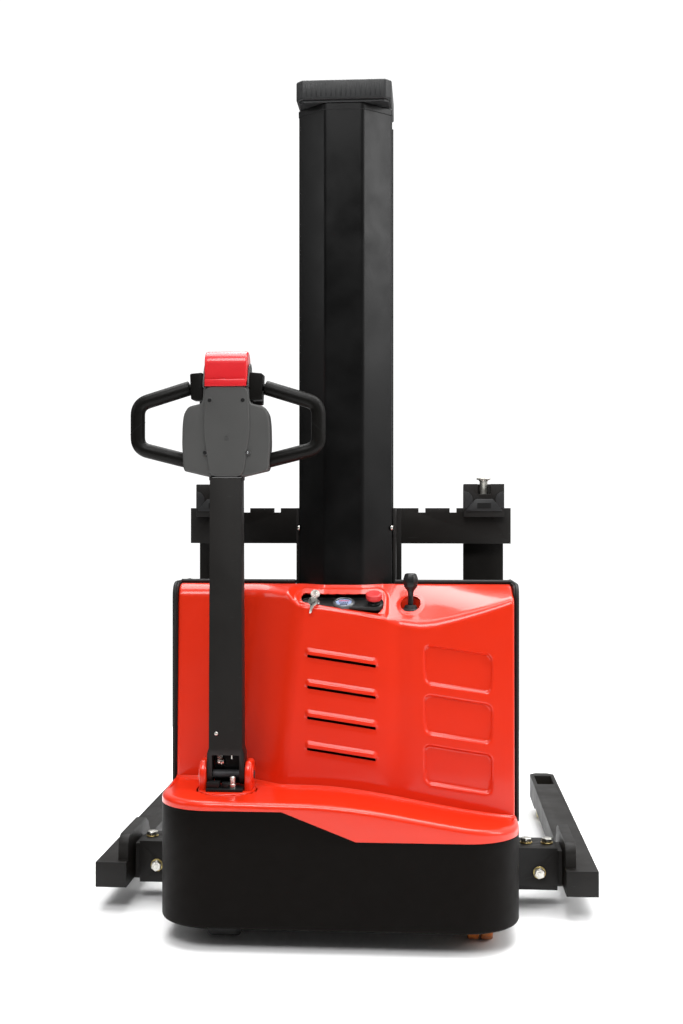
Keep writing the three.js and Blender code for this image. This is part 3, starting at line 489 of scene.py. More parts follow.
# ---------------------------------------------------------------- pieces
CREASE_ANGLE = math.radians(38)
BEVEL_ANGLE = math.radians(28)
FLAT_ANGLE = math.radians(0.8)
WELD_DISTANCE = 1e-5


def soften_group():
    """Smooth shading that keeps a crease where faces meet at more than CREASE_ANGLE."""
    group = bpy.data.node_groups.new("smooth_shading", "GeometryNodeTree")
    group.interface.new_socket("Geometry", in_out="INPUT", socket_type="NodeSocketGeometry")
    group.interface.new_socket("Geometry", in_out="OUTPUT", socket_type="NodeSocketGeometry")
    nodes, links = group.nodes, group.links
    source, sink = nodes.new("NodeGroupInput"), nodes.new("NodeGroupOutput")
    faces = nodes.new("GeometryNodeSetShadeSmooth")
    edges = nodes.new("GeometryNodeSetShadeSmooth")
    edges.domain = "EDGE"
    angle = nodes.new("GeometryNodeInputMeshEdgeAngle")
    compare = nodes.new("FunctionNodeCompare")
    compare.operation = "LESS_THAN"
    compare.inputs["B"].default_value = CREASE_ANGLE
    links.new(source.outputs[0], faces.inputs["Geometry"])
    links.new(faces.outputs["Geometry"], edges.inputs["Geometry"])
    links.new(angle.outputs["Unsigned Angle"], compare.inputs["A"])
    links.new(compare.outputs["Result"], edges.inputs["Shade Smooth"])
    links.new(edges.outputs["Geometry"], sink.inputs[0])
    return group


SMOOTH = soften_group()


def soften(obj, bevel):
    """Rounds the piece's sharp edges and shades it smooth."""
    if bevel:
        modifier = obj.modifiers.new("rounded_edges", "BEVEL")
        modifier.width = bevel
        modifier.segments = 2
        modifier.limit_method = "ANGLE"
        modifier.angle_limit = BEVEL_ANGLE
        modifier.harden_normals = False
    shading = obj.modifiers.new("smooth_shading", "NODES")
    shading.node_group = SMOOTH


def placed(name, data, material):
    """A new object in the scene, from its mesh and its material."""
    data.materials.append(material)
    obj = bpy.data.objects.new(name, data)
    bpy.context.scene.collection.objects.link(obj)
    return obj


def piece(name, shapes, material, body, replaces=(), bevel=0.0):
    """One visible piece of the truck, made of one or more closed shapes.

    Its body is a name, or a (body, body, start, end) tuple whose values are not used: such a piece is
    attached to no body.
    """
    points, faces = [], []
    for shape_points, shape_faces in shapes if isinstance(shapes, list) else [shapes]:
        offset = sum(len(p) for p in points)
        points.append(np.asarray(shape_points, float))
        faces += [tuple(i + offset for i in face) for face in shape_faces]
    data = bpy.data.meshes.new(name)
    data.from_pydata([tuple(p) for p in np.concatenate(points)], [], faces)
    data.validate()
    turn_outwards(data)
    obj = placed(name, data, material)
    soften(obj, bevel)
    if isinstance(body, str):
        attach(obj, body)
    else:
        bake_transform(obj)
    if replaces:
        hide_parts(*replaces)
    return obj


def turn_outwards(data):
    work = bmesh.new()
    work.from_mesh(data)
    bmesh.ops.recalc_face_normals(work, faces=work.faces)
    work.to_mesh(data)
    work.free()


def dress(node, material, bevel):
    """Gives a CAD node its finish, with its sharp edges broken as on the real part."""
    obj = frame["nodes"][node]
    weld = obj.modifiers.new("joined_corners", "WELD")
    weld.merge_threshold = WELD_DISTANCE
    flat = obj.modifiers.new("whole_faces", "DECIMATE")
    flat.decimate_type = "DISSOLVE"
    flat.angle_limit = FLAT_ANGLE
    soften(obj, bevel)
    for entry in obj.material_slots:
        entry.material = material

# ---------------------------------------------------------------- CAD nodes that keep their shape
DRESSED = [
    (BLACK_STEEL, 0.0020, "chassis_frame carriage fork_left fork_right leg_left leg_right"),
    (BLACK_STEEL, 0.0015, "mast_column lift_cylinder"),
    (IRON, 0.0010, "hydraulic_unit steering_bracket crosshead"),
    (STEEL, 0.0010, "motor_controller slew_ring drive_motor piston_rod chain_pulley"),
    (ZINC, 0.0008, "caster_fork"),
    (BATTERY, 0.0030, "battery_left battery_right"),
    (BLACK_STEEL, 0.0020, "tiller_arm"),
    (ZINC, 0.0005, "gas_spring"),
]
for finish, edge, nodes in DRESSED:
    for node in nodes.split():
        dress(node, finish, edge)

# ---------------------------------------------------------------- the red front cover
COVER_RECESS = FRONT + 0.240  # the face beside the tiller
COVER_MIDDLE = FRONT + 0.168
COVER_RIGHT = cover_box.y0
COVER_REAR = FRONT + 0.300  # where the side plates take over
COVER_LEAN, LEAN_RISE = 0.016, 0.44  # the face leans back this much over this height
COVER_EDGE = 0.0055  # rounding of its side edges
SIDE_OVERLAP = 0.0022  # the left edge closes the gap to the side plate
SHEET = 0.003  # thickness of the mouldings
STEP_START, STEP_END = -0.232, -0.098  # where the face steps forward, at STEP_HEIGHT
STEP_HEIGHT, STEP_LEAN = 0.55, 0.10
CREASE_X, CREASE_WIDTH, CREASE_DEPTH = 0.133, 0.022, 0.0045

LOUVRE_LEFT, LOUVRE_RIGHT = -0.078, 0.079
LOUVRE_TOPS = (0.627, 0.556, 0.486, 0.415)
LOUVRE_SLOT = 0.0075
LOUVRE_DISH = 0.0015  # how far the face dips under each slot
HOOD_REACH, HOOD_HEIGHT, HOOD_FLAT = 0.0065, 0.015, 0.008
SLANT = -0.14  # louvres and pockets run down to the right
POCKET_LEFT, POCKET_RIGHT = 0.189, 0.344
POCKET_TOPS = (0.653, 0.5405, 0.428)
POCKET_HEIGHT, POCKET_DEPTH, POCKET_CORNER = 0.092, 0.0065, 0.016
POCKET_RAMP_LOW, POCKET_RAMP_HIGH = 0.0085, 0.0045  # the pocket's rim is softer at its foot
BAND_LOW, BAND_HIGH = 0.372, 0.712  # rows that follow the slant lie between these
ROWS_START, ROWS_END = 0.262, 0.752

CONSOLE_LEFT, CONSOLE_RIGHT = -0.096, 0.091
CONSOLE_HIGH = 0.758
CONSOLE_CORNER, CONSOLE_RIM = 0.013, 0.0065
CONSOLE_SILL = 0.0035  # the opening starts this far above the brow
BROW_LEFT, BROW_NOTCH, BROW_DIP = 0.768, 0.737, 0.693  # heights of the brow, from left to right
BROW_DIP_X = 0.175
BROW_FALL, BROW_RISE, BROW_CURL = 0.141, 0.22, 0.38
BROW_BLEND = 0.005
BROW_WIDE, BROW_NARROW = 0.018, 0.0035  # reach of the brow's rounding
BROW_SET_BACK = 0.004
BROW_STEPS = 7
CROWN = 0.006  # how far the top bulges on both sides of the console
FACET_SLOPE = 0.8955  # the top's rear edge runs back beside the mast's facets
FACET_HALF = 0.045  # half the width of the mast cover's front
MAST_GAP = 0.004
LEVER = Span("lever_boot")
WELL = 0.0235  # radius of the lever's well
WELL_RIM = 0.0022
COARSE_STEP, FOOT_STEP, BROW_STEP = 0.008, 0.008, 0.0035
COLUMN_STEP, ROW_STEP = 0.0027, 1 / 40
SNAP_SHARE = 0.52  # points within this share of a cell move on to an outline
TINY = 1e-6


def cover_front(x, z):
    """The face's place: set back beside the tiller, stepping forward along a slightly leaning line."""
    forward = lerp(COVER_MIDDLE, COVER_RIGHT, smoothstep(-0.100, cover_box.x1, x))
    shift = STEP_LEAN * (z - STEP_HEIGHT)
    step = smoothstep(STEP_START + shift, STEP_END + shift, x)
    crease = CREASE_DEPTH * np.exp(-(((x - CREASE_X) / CREASE_WIDTH) ** 2)) * smoothstep(0.30, 0.46, z)
    lean = COVER_LEAN * (z - cover_box.z0) / LEAN_RISE
    return lerp(COVER_RECESS, forward, step) + lean + crease


def cover_brow(x):
    """Height where the face turns into the sloping top."""
    down = smoothstep(-0.130, CONSOLE_LEFT, x)
    falling = lerp(BROW_LEFT, BROW_NOTCH, down) - BROW_FALL * np.maximum(x - CONSOLE_LEFT, 0)
    beyond = np.maximum(x - BROW_DIP_X, 0)
    rising = BROW_DIP + BROW_RISE * beyond + BROW_CURL * beyond**2
    return BROW_BLEND * np.logaddexp(falling / BROW_BLEND, rising / BROW_BLEND)


def cover_back(x):
    """The top's rear edge keeps clear of the mast cover's facets."""
    nearest = mast_cover_box.y0 - MAST_GAP
    return clamp(nearest + (np.abs(x) - FACET_HALF) * FACET_SLOPE, nearest, COVER_REAR)


def brow_cut(x):
    """How far the rounding of the brow reaches each way: little beside the console, more elsewhere."""
    beside_console = smoothstep(-0.125, -0.100, x) * (1 - smoothstep(0.09, 0.14, x))
    return lerp(BROW_WIDE, BROW_NARROW, beside_console)


def cover_top_point(x, t):
    """A point on the sloping top, from the brow at t 0 to the rear edge at t 1."""
    corner = cover_brow(x)
    y = lerp(cover_front(x, corner) + BROW_SET_BACK, cover_back(x), t)
    crown = CROWN * np.sin(np.pi * clamp(t, 0, 1)) * smoothstep(0.12, 0.2, np.abs(x))
    return y, lerp(corner, cover_box.z1, t) + crown


def cover_top_run(x):
    """How far the sloping top runs back and rises."""
    corner_y, corner_z = cover_top_point(x, np.zeros_like(x))
    back_y, back_z = cover_top_point(x, np.ones_like(x))
    return back_y - corner_y, back_z - corner_z


def console_distance(x, z):
    """Distance to the console's opening, seen from the front, negative inside."""
    low = cover_brow(x) + CONSOLE_SILL
    half_height = np.maximum((CONSOLE_HIGH - low) / 2, 0.007)
    centre_x = (CONSOLE_LEFT + CONSOLE_RIGHT) / 2
    half_width = (CONSOLE_RIGHT - CONSOLE_LEFT) / 2
    corner = np.minimum(half_height, CONSOLE_CORNER)
    return rounded_box_distance(x - centre_x, z - (CONSOLE_HIGH + low) / 2, half_width, half_height, corner)


def well_distance(x, y):
    return np.hypot(x - LEVER.x, y - LEVER.y) - WELL


def opening_distance(x, t):
    """Distance to the nearer of the console's opening and the lever's well, negative inside."""
    y, z = cover_top_point(x, t)
    return np.minimum(console_distance(x, z), well_distance(x, y))


def cover_top_rim(x, t):
    """The raised lip round the openings."""
    y, z = cover_top_point(x, t)
    console = CONSOLE_RIM * (1 - smoothstep(0.010, 0.017, console_distance(x, z)))
    well = WELL_RIM * (1 - smoothstep(0.001, 0.009, well_distance(x, y)))
    return (console + well) * smoothstep(0.0, 0.06, t) * (1 - smoothstep(0.92, 1.0, t))


def slanted(x):
    return SLANT * clamp(x - LOUVRE_LEFT, 0, POCKET_RIGHT - LOUVRE_LEFT)


def louvre_relief(x, r):
    """The hoods stand out over their slots, and the face dips a little below each slot."""
    ends = smoothstep(LOUVRE_LEFT - 0.006, LOUVRE_LEFT + 0.004, x)
    ends *= 1 - smoothstep(LOUVRE_RIGHT - 0.004, LOUVRE_RIGHT + 0.006, x)
    out = np.zeros_like(x)
    for top in LOUVRE_TOPS:
        hood = 1 - smoothstep(top + HOOD_FLAT, top + HOOD_HEIGHT, r)
        out -= HOOD_REACH * hood * ends * (r >= top - TINY)
        out += LOUVRE_DISH * ends * (r < top) * smoothstep(top - 0.02, top - LOUVRE_SLOT, r)
    return out


def pocket_relief(x, r):
    """Three rounded pockets pressed into the face."""
    out = np.zeros_like(x)
    middle, half_width = (POCKET_LEFT + POCKET_RIGHT) / 2, (POCKET_RIGHT - POCKET_LEFT) / 2
    unslant = -SLANT * (POCKET_LEFT - LOUVRE_LEFT)
    for top in POCKET_TOPS:
        up = r - (top + unslant - POCKET_HEIGHT / 2)
        inside = -rounded_box_distance(x - middle, up, half_width, POCKET_HEIGHT / 2, POCKET_CORNER)
        ramp = lerp(POCKET_RAMP_LOW, POCKET_RAMP_HIGH, smoothstep(-0.8, -0.2, up / POCKET_HEIGHT * 2))
        out += POCKET_DEPTH * smoothstep(0, 1, inside / ramp)
    return out


def front_rows():
    """The rows' heights with the slant taken out, with lines along every louvre."""
    marks = [BAND_LOW, BAND_HIGH]
    for top in LOUVRE_TOPS:
        marks += [top - LOUVRE_SLOT, top, top + 0.004, top + HOOD_HEIGHT]
    foot = spaced([ROWS_START, BAND_LOW], FOOT_STEP)[:-1]
    head = spaced([BAND_HIGH, ROWS_END], BROW_STEP)[1:]
    return np.concatenate([foot, spaced(sorted(marks), COLUMN_STEP), head])


def front_height(x, r):
    """Real height of a row: the slanted band is joined to the level foot and to the brow."""
    low_share = clamp((r - ROWS_START) / (BAND_LOW - ROWS_START), 0, 1)
    top_share = clamp((r - BAND_HIGH) / (ROWS_END - BAND_HIGH), 0, 1)
    low = lerp(cover_box.z0, BAND_LOW + slanted(x), low_share)
    top = lerp(BAND_HIGH + slanted(x), cover_brow(x) - brow_cut(x), top_share)
    band = clamp(r, BAND_LOW, BAND_HIGH) + slanted(x)
    return np.where(r < BAND_LOW, low, np.where(r > BAND_HIGH, top, band))


def snapped(x, t, distance):
    """Moves the grid points nearest to an outline on to it."""
    small, passes = 1e-4, 3
    for _ in range(passes):
        d = distance(x, t)
        gx = (distance(x + small, t) - d) / small
        gt = (distance(x, t + small) - d) / small
        scale = np.maximum(gx**2 + gt**2, 1e-9)
        reach = SNAP_SHARE * np.hypot(gx * COLUMN_STEP, gt * ROW_STEP)
        near = (np.abs(d) < reach) & (t < 1)
        x = np.where(near, x - d * gx / scale, x)
        t = np.where(near, t - d * gt / scale, t)
    return x, t


def cover_columns():
    low, high = cover_box.x0 - SIDE_OVERLAP + COVER_EDGE, cover_box.x1 - COVER_EDGE
    plain_end, margin = STEP_START - 0.01, 0.004
    stops = [plain_end, LOUVRE_LEFT, LOUVRE_RIGHT, POCKET_LEFT - margin, POCKET_RIGHT + margin, high]
    return np.concatenate([spaced([low, plain_end], COARSE_STEP)[:-1], spaced(stops, COLUMN_STEP)])


def corners_of(cells):
    """The four corner values of every cell of a grid."""
    return cells[1:, 1:], cells[:-1, :-1], cells[1:, :-1], cells[:-1, 1:]


def cover_face(columns):
    """The upright face: its points, and which cells are louvre slots."""
    x, r = np.meshgrid(columns, front_rows())
    z = front_height(x, r)
    y = cover_front(x, z) + (louvre_relief(x, r) + pocket_relief(x, r))
    slot = np.zeros(x.shape, bool)
    between = (x > LOUVRE_LEFT - TINY) & (x < LOUVRE_RIGHT + TINY)
    for top in LOUVRE_TOPS:
        slot |= (np.abs(r - top + LOUVRE_SLOT / 2) < LOUVRE_SLOT / 2 + TINY) & between
    return np.stack([x, y, z], axis=-1), np.logical_and.reduce(corners_of(slot))


def cover_top(columns):
    """The sloping top: its points, the way inwards at each, and which cells lie in an opening."""
    x, t = np.meshgrid(columns, spaced([0.0, 1.0], ROW_STEP))
    share = brow_cut(x) / np.hypot(*cover_top_run(x))
    x, t = snapped(x, share + t * (1 - share), opening_distance)
    run, rise = cover_top_run(x)
    slope = np.arctan2(rise, run)
    y, z = cover_top_point(x, t)
    rim = cover_top_rim(x, t)
    points = np.stack([x, y - rim * np.sin(slope), z + rim * np.cos(slope)], axis=-1)
    inward = np.stack([np.zeros_like(x), np.sin(slope), -np.cos(slope)], axis=-1)
    centre_x, centre_t = ((grid[1:, 1:] + grid[:-1, :-1]) / 2 for grid in (x, t))
    return points, inward, opening_distance(centre_x, centre_t) < 0


def cover_grid():
    """All the sheet's points, rows by columns, the way inwards at each, and which cells are openings."""
    columns = cover_columns()
    face, slots = cover_face(columns)
    top, top_inward, holes = cover_top(columns)
    level = np.tile([0.0, 1.0, 0.0], (len(columns), 1))
    edge_x = top[0, :, 0]
    corner_z = cover_brow(edge_x)
    corner = np.stack([columns, cover_front(edge_x, corner_z), corner_z], axis=-1)
    rounding, turning = [], []
    for k in range(1, BROW_STEPS):
        s = k / BROW_STEPS
        rounding.append(lerp(lerp(face[-1], corner, s), lerp(corner, top[0], s), s))
        turning.append(lerp(level, top_inward[0], s))
    points = np.concatenate([face, np.array(rounding), top])
    inward = np.concatenate([np.tile(level, (len(face), 1, 1)), np.array(turning), top_inward])
    openings = np.zeros((points.shape[0] - 1, points.shape[1] - 1), bool)
    openings[: len(slots)] = slots
    openings[-len(holes) :] = holes
    return points, inward, openings


def with_sides(points, inward, openings):
    """Adds the rounded side edges and the side walls, which run back level under the side plates."""
    wall_steps = 3
    both = []
    for column, sign in ((0, -1), (-1, 1)):
        edge, into = points[:, column], inward[:, column]
        strips = []
        for inwards, outwards in quarter_round(COVER_EDGE, 5)[1:]:
            strips.append(edge + np.array([sign * outwards, 0, 0]) + into * inwards)
        last = strips[-1]
        for k in range(1, wall_steps + 1):
            wall = last.copy()
            wall[:, 1] = lerp(last[:, 1], np.maximum(COVER_REAR, last[:, 1]), k / wall_steps)
            strips.append(wall)
        both.append(np.stack(strips if sign > 0 else strips[::-1], axis=1))
    full = np.concatenate([both[0], points, both[1]], axis=1)
    extra = np.zeros((openings.shape[0], both[0].shape[1]), bool)
    return full, np.concatenate([extra, openings, extra], axis=1)


def red_sheet(name, points, openings, node):
    """A red moulding from a grid of points: opening cells left out, and the wall added inwards."""
    rows, columns = points.shape[:2]
    faces = []
    for j in range(rows - 1):
        for i in range(columns - 1):
            if not openings[j, i]:
                a = j * columns + i
                faces.append((a, a + 1, a + columns + 1, a + columns))
    data = bpy.data.meshes.new(name)
    data.from_pydata([tuple(p) for p in points.reshape(-1, 3)], [], faces)
    work = bmesh.new()
    work.from_mesh(data)
    bmesh.ops.delete(work, geom=[v for v in work.verts if not v.link_faces], context="VERTS")
    bmesh.ops.dissolve_degenerate(work, dist=TINY, edges=work.edges)
    work.to_mesh(data)
    work.free()
    obj = placed(name, data, RED)
    wall = obj.modifiers.new("wall", "SOLIDIFY")
    wall.thickness = SHEET
    wall.offset = -1
    soften(obj, 0)
    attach(obj, "chassis")
    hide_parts(node)


def console_painted_shade():
    """Painted shade: a black plate behind the brow that closes the view below the console's tray, dark in
    place of the shaded inside of the cover.
    """
    thick, overhang = 0.0015, 0.004
    rings = []
    for x in spaced([CONSOLE_LEFT - overhang, CONSOLE_RIGHT + overhang], COARSE_STEP):
        front = cover_front(x, cover_brow(x)) + 2 * SHEET
        low, high = cover_brow(x) - 0.030, cover_brow(x) + 0.002
        rings.append([(x, front, low), (x, front + thick, low), (x, front + thick, high), (x, front, high)])
    piece("console_painted_shade", skin(rings), SHADE_AND_SEAM_BLACK, "chassis")


red_sheet("front_cover_moulding", *with_sides(*cover_grid()), "front_cover")
console_painted_shade()

# ---------------------------------------------------------------- shelf and skirt
SKIRT_CORNER = 0.120
SKIRT_WALL = 0.008
SHELF_EDGE = 0.012
SHELF_SWEEP, SHELF_FALL = 0.057, 0.004
STEP_LEFT, STEP_RIGHT = -0.117, 0.044  # the skirt's top edge runs down between these
SEAM = 0.0003  # gap between the shelf's lip and the skirt
SKIRT_HIGH, SKIRT_LOW = skirt_box.z1, shelf_box.z0 - SEAM
INNER_HALF = HALF - SKIRT_CORNER
SHELF_ROWS = 56
SIDE_STEP, FRONT_STEP = 0.02, 0.0085
STEER = Span("slew_ring")
STEER_OPENING = 0.069


def shelf_top(x):
    """The shelf is level beside the tiller and sweeps down to the right in one long curve."""
    sweep_down = SHELF_SWEEP * smoothstep(-0.075, 0.43, x)
    return shelf_box.z1 - sweep_down - SHELF_FALL * smoothstep(-0.40, 0.0, x)


def skirt_top(x):
    share = clamp((x - STEP_LEFT) / (STEP_RIGHT - STEP_LEFT), 0, 1)
    return lerp(SKIRT_HIGH, SKIRT_LOW, share)


def round_the_front(back_left, back_right):
    """Points and outward normals round the skirt's plan, from the left rear end to the right rear end."""
    bend = FRONT + SKIRT_CORNER
    quarter = spaced([0.0, QUARTER_TURN], math.pi / 28)
    run = [(-HALF, y, -1.0, 0.0) for y in spaced([back_left, bend], SIDE_STEP)[:-1]]
    for a in quarter:
        nx, ny = -math.cos(a), -math.sin(a)
        run.append((-INNER_HALF + SKIRT_CORNER * nx, bend + SKIRT_CORNER * ny, nx, ny))
    straight = spaced([-INNER_HALF, STEP_LEFT, STEP_RIGHT, INNER_HALF], FRONT_STEP)[1:-1]
    run += [(x, FRONT, 0.0, -1.0) for x in straight]
    for a in quarter[::-1]:
        nx, ny = math.cos(a), -math.sin(a)
        run.append((INNER_HALF + SKIRT_CORNER * nx, bend + SKIRT_CORNER * ny, nx, ny))
    run += [(HALF, y, 1.0, 0.0) for y in spaced([bend, back_right], SIDE_STEP)[1:]]
    return np.array(run).T


def shelf_edge_rows(x, y, nx, ny):
    """The upright lip over the skirt and the rounded edge above it."""
    lip_low, top = skirt_top(x) + SEAM, shelf_top(x)
    rows = [np.stack([x, y, lerp(lip_low, top - SHELF_EDGE, s)], axis=1) for s in (0.0, 0.06, 0.5, 1.0)]
    for inwards, upwards in quarter_round(SHELF_EDGE, 7)[1:]:
        rows.append(np.stack([x - nx * inwards, y - ny * inwards, top - SHELF_EDGE + upwards], axis=1))
    return rows


def shelf_rear(x, y, nx):
    """Where each row of the shelf ends: at the red cover's foot, or at the side."""
    side, beyond = np.sign(x), clamp((np.abs(x) - INNER_HALF) / SKIRT_CORNER, 0, 1)
    spread = side * lerp(INNER_HALF, cover_box.x1 + 0.0006, beyond**0.7)
    inner_x = np.where(beyond > 0, spread, x)
    inner_y = cover_front(inner_x, shelf_top(inner_x)) - 0.0012
    at_side = np.abs(nx) > 0.999
    return inner_x, np.where(at_side, np.maximum(inner_y, y), inner_y), at_side


def cut_round_hole(points, first_row):
    """Pulls the grid on to the turntable's round opening, and finds the cells inside it."""
    centre = np.array([STEER.x, STEER.y])
    flat = points[:, :, :2]
    toward = flat - centre
    radius = np.linalg.norm(toward, axis=-1)
    near = np.abs(radius - STEER_OPENING) < 0.0026
    near[:first_row] = False
    on_rim = centre + toward / np.maximum(radius, TINY)[..., None] * STEER_OPENING
    flat[near] = on_rim[near]
    middle = sum(corners_of(flat)) / 4 - centre
    return np.linalg.norm(middle, axis=-1) < STEER_OPENING - 0.0005


def shelf_cover():
    """A moulded tray: an upright lip that follows the skirt, a rounded edge, and the sloping top."""
    x, y, nx, ny = round_the_front(FRONT + 0.247, FRONT + 0.185)
    rows = shelf_edge_rows(x, y, nx, ny)
    edge, first_row = rows[-1], len(rows)
    inner_x, inner_y, at_side = shelf_rear(x, y, nx)
    for k in range(1, SHELF_ROWS + 1):
        s = k / SHELF_ROWS
        row_x, row_y = lerp(edge[:, 0], inner_x, s), lerp(edge[:, 1], inner_y, s)
        cove = 0.006 * smoothstep(0.90, 1.0, s) * (1 - at_side)
        rows.append(np.stack([row_x, row_y, shelf_top(row_x) + cove], axis=1))
    points = np.array(rows)
    openings = cut_round_hole(points, first_row)
    red_sheet("shelf_moulding", points, openings, "shelf_cover")


def skirt():
    """The black bumper skirt: one closed wall with rounded top and bottom edges."""
    low = skirt_box.z0
    bottom_edge, top_edge = 0.007, 0.0022
    foot = [(bottom_edge - upwards, low + inwards) for inwards, upwards in quarter_round(bottom_edge, 5)]
    foot += [(0.0, lerp(low, SKIRT_LOW, s)) for s in (0.3, 0.65, 0.93)]
    head = [(inwards, upwards - top_edge) for inwards, upwards in quarter_round(top_edge, 3)]
    head.append((SKIRT_WALL, 0.0))
    rings = []
    for x, y, nx, ny in round_the_front(skirt_box.y1, skirt_box.y1).T:
        section = [*foot, *((into, skirt_top(x) + down) for into, down in head), (SKIRT_WALL, low)]
        rings.append([(x - nx * into, y - ny * into, z) for into, z in section])
    piece("skirt_moulding", skin(rings), BLACK_SKIRT, "chassis", ["skirt"])


shelf_cover()
skirt()

# ---------------------------------------------------------------- tiller head
HEAD_X, HEAD_Y = arm_box.x, arm_box.y
HEAD_LOW, HEAD_TOP = head_box.z0, head_box.z1
BACK, SPLIT = head_box.y0, head_box.y1
BUTTON = Span("belly_button")
THROTTLE = Span("throttle")
SPINE_SHIFT = 0.0018  # the raised middle, its screws and mark sit a little to the right
SHELL_GAP, FAR_DEPTH = 0.0003, 0.036


def wing_outline():
    """The head's outline: narrow at the neck, widest at mid height, with square shoulders."""
    low = HEAD_LOW
    right = [
        (0.036, low), (0.046, low + 0.002), (0.0945, low + 0.0135), (0.0975, low + 0.022),
        (0.1005, low + 0.075), (0.0995, low + 0.118), (0.0965, low + 0.143), (0.086, low + 0.160),
        (0.054, low + 0.167), (0.0520, HEAD_TOP),
    ]
    return shifted(rounded_outline(mirror_outline(right), 0.010, 5), HEAD_X)


def spine_outline():
    low = HEAD_LOW
    right = [
        (0.0385, low + 0.0005), (0.0445, low + 0.045), (0.0515, low + 0.090), (0.0530, low + 0.120),
        (0.0505, low + 0.165), (0.0485, HEAD_TOP - 0.001),
    ]
    return shifted(rounded_outline(mirror_outline(right), 0.02, 6), HEAD_X + SPINE_SHIFT)


def near_shell():
    """Wings on both sides, and a raised spine down the middle."""
    shapes = [
        pillow(wing_outline(), "y", SPLIT, BACK + 0.005, 0.0055, 5, both=False),
        pillow(spine_outline(), "y", BACK + 0.008, BACK, 0.0035, 4, both=False),
    ]
    piece("head_near_shell", shapes, GREY, "tiller", ["head_back_shell"])


def far_shell():
    """The far half, with the two fins and the bridge that hold the button, and the throttle's post."""
    top = HEAD_TOP
    start = SPLIT + SHELL_GAP
    shapes = [pillow(inset(wing_outline(), 0.0015), "y", start, SPLIT + FAR_DEPTH, 0.010, 5, both=False)]
    fin = [(-0.020, top - 0.004), (0.034, top - 0.004), (0.036, top + 0.042), (0.020, top + 0.0545),
           (0.0, top + 0.046), (-0.016, top + 0.017)]
    fin = shifted(rounded_outline(fin, 0.006, 3), HEAD_Y)
    shapes += [prism(fin, "x", HEAD_X + sign * 0.0492, HEAD_X + sign * 0.0525) for sign in (-1, 1)]
    half, post_half = 0.047, 0.010
    near, far = HEAD_Y - 0.012, HEAD_Y + 0.030
    shapes.append(box(HEAD_X - half, HEAD_X + half, near, far, top - 0.006, BUTTON.z0 - 0.0052))
    post_low, post_high = THROTTLE.z - 0.013, min(THROTTLE.z + 0.013, top)
    post_start, post_end = SPLIT + 0.030, THROTTLE.y + 0.014
    shapes.append(box(HEAD_X - post_half, HEAD_X + post_half, post_start, post_end, post_low, post_high))
    piece("head_far_shell", shapes, GREY, "tiller", ["head_front_shell"], bevel=0.0015)


def head_screws():
    """Four countersunk holes with rims, each hole a dark disc of painted shade; the low right one shows its
    screw. A round mark lies between.
    """
    radius = 0.0046
    rim = [(radius, -0.0007), (radius + 0.0009, -0.0003), (radius + 0.0009, 0.007), (radius, 0.007)]
    screw = [(0, -0.0012), (0.0015, -0.0011), (0.0022, -0.0006), (0.0022, 0.001), (0, 0.001)]
    hole_shades, rims = [], []
    for x, up in ((0.0375, 0.173), (0.0485, 0.055)):
        for sign in (-1, 1):
            place = (HEAD_X + (SPINE_SHIFT + x * sign), BACK, HEAD_LOW + up)
            # Painted shade: a dark disc, standing just proud of the shell, in place of the hole's shaded
            # inside
            hole_shades.append(rod(radius, -0.0006, 0.008, "y", place))
            rims.append(lathe(rim, "y", place, 24))
    piece("head_screw_hole_shades", hole_shades, SHADE_AND_SEAM_BLACK, "tiller")
    piece("head_screw_rims", rims, GREY, "tiller")
    low_right = place
    piece("head_screws", lathe(screw, "y", low_right, 18), STEEL, "tiller")
    dimple = [(0.0040, -0.0009), (0.0052, -0.0009), (0.0058, 0.001), (0.0040, 0.001)]
    mark = lathe(dimple, "y", (HEAD_X + SPINE_SHIFT, BACK, HEAD_LOW + 0.088), 28)
    piece("head_centre_mark", mark, GREY, "tiller")


def side_blocks():
    """The switch housings beside the neck, which carry the upper ends of the loops."""
    low, high = HEAD_TOP - 0.0318, HEAD_TOP + 0.0306
    corners = [(0.0535, low), (0.0800, low + 0.0010), (0.0825, high - 0.0025), (0.0535, high)]
    for name, sign in (("left", -1), ("right", 1)):
        outline = rounded_outline([(sign * a, b) for a, b in corners], 0.004, 3)
        housing = pillow(shifted(outline, HEAD_X), "y", HEAD_Y - 0.014, HEAD_Y + 0.032, 0.0016, 3)
        piece(f"switch_housing_{name}", housing, GRIP, "tiller", bevel=0.0004)


LOOP_REACH, LOOP_DEPTH = 0.2070, 0.010
LOOP_ROUTE = [
    (0.0800, 1.2375), (0.0872, 1.2355), (LOOP_REACH, 1.1985), (LOOP_REACH, 1.0985), (0.0940, 1.0700),
]
GRIP_RADIUS, NECK_RADIUS = 0.0165, 0.0085


def loop_handles():
    """Round grips with a collar at the upper end, a neck into the housing and a slanting seam outside."""
    for name, sign in (("left", -1), ("right", 1)):
        corners = [Vector((HEAD_X + sign * a, HEAD_Y + LOOP_DEPTH, z)) for a, z in LOOP_ROUTE]
        start, toward = corners[1], (corners[2] - corners[1]).normalized()
        grip = sweep(smooth_path(corners[1:], 0.025, 10), GRIP_RADIUS, 28)
        collar_path = [start - toward * 0.0014, start, start + toward * 0.001]
        collar = sweep(collar_path, [GRIP_RADIUS - 0.0015, GRIP_RADIUS, GRIP_RADIUS], 28)
        shapes = [grip, collar, sweep(corners[:2], NECK_RADIUS, 20)]
        node = f"loop_handle_{name}"
        piece(f"loop_grip_{name}", shapes, GRIP, "tiller", [node], bevel=0.0008)
        centre = Vector((HEAD_X + sign * LOOP_REACH, HEAD_Y + LOOP_DEPTH, 1.1440))
        reach, slant = GRIP_RADIUS + 0.0001, -sign * 0.0150
        seam = [centre + Vector((reach * math.cos(a), reach * math.sin(a), slant * math.cos(a)))
                for a in spaced([0.0, FULL_TURN], math.pi / 18)]
        piece(f"loop_seam_{name}", sweep(seam, 0.0005, 6), SHADE_AND_SEAM_BLACK, "tiller")


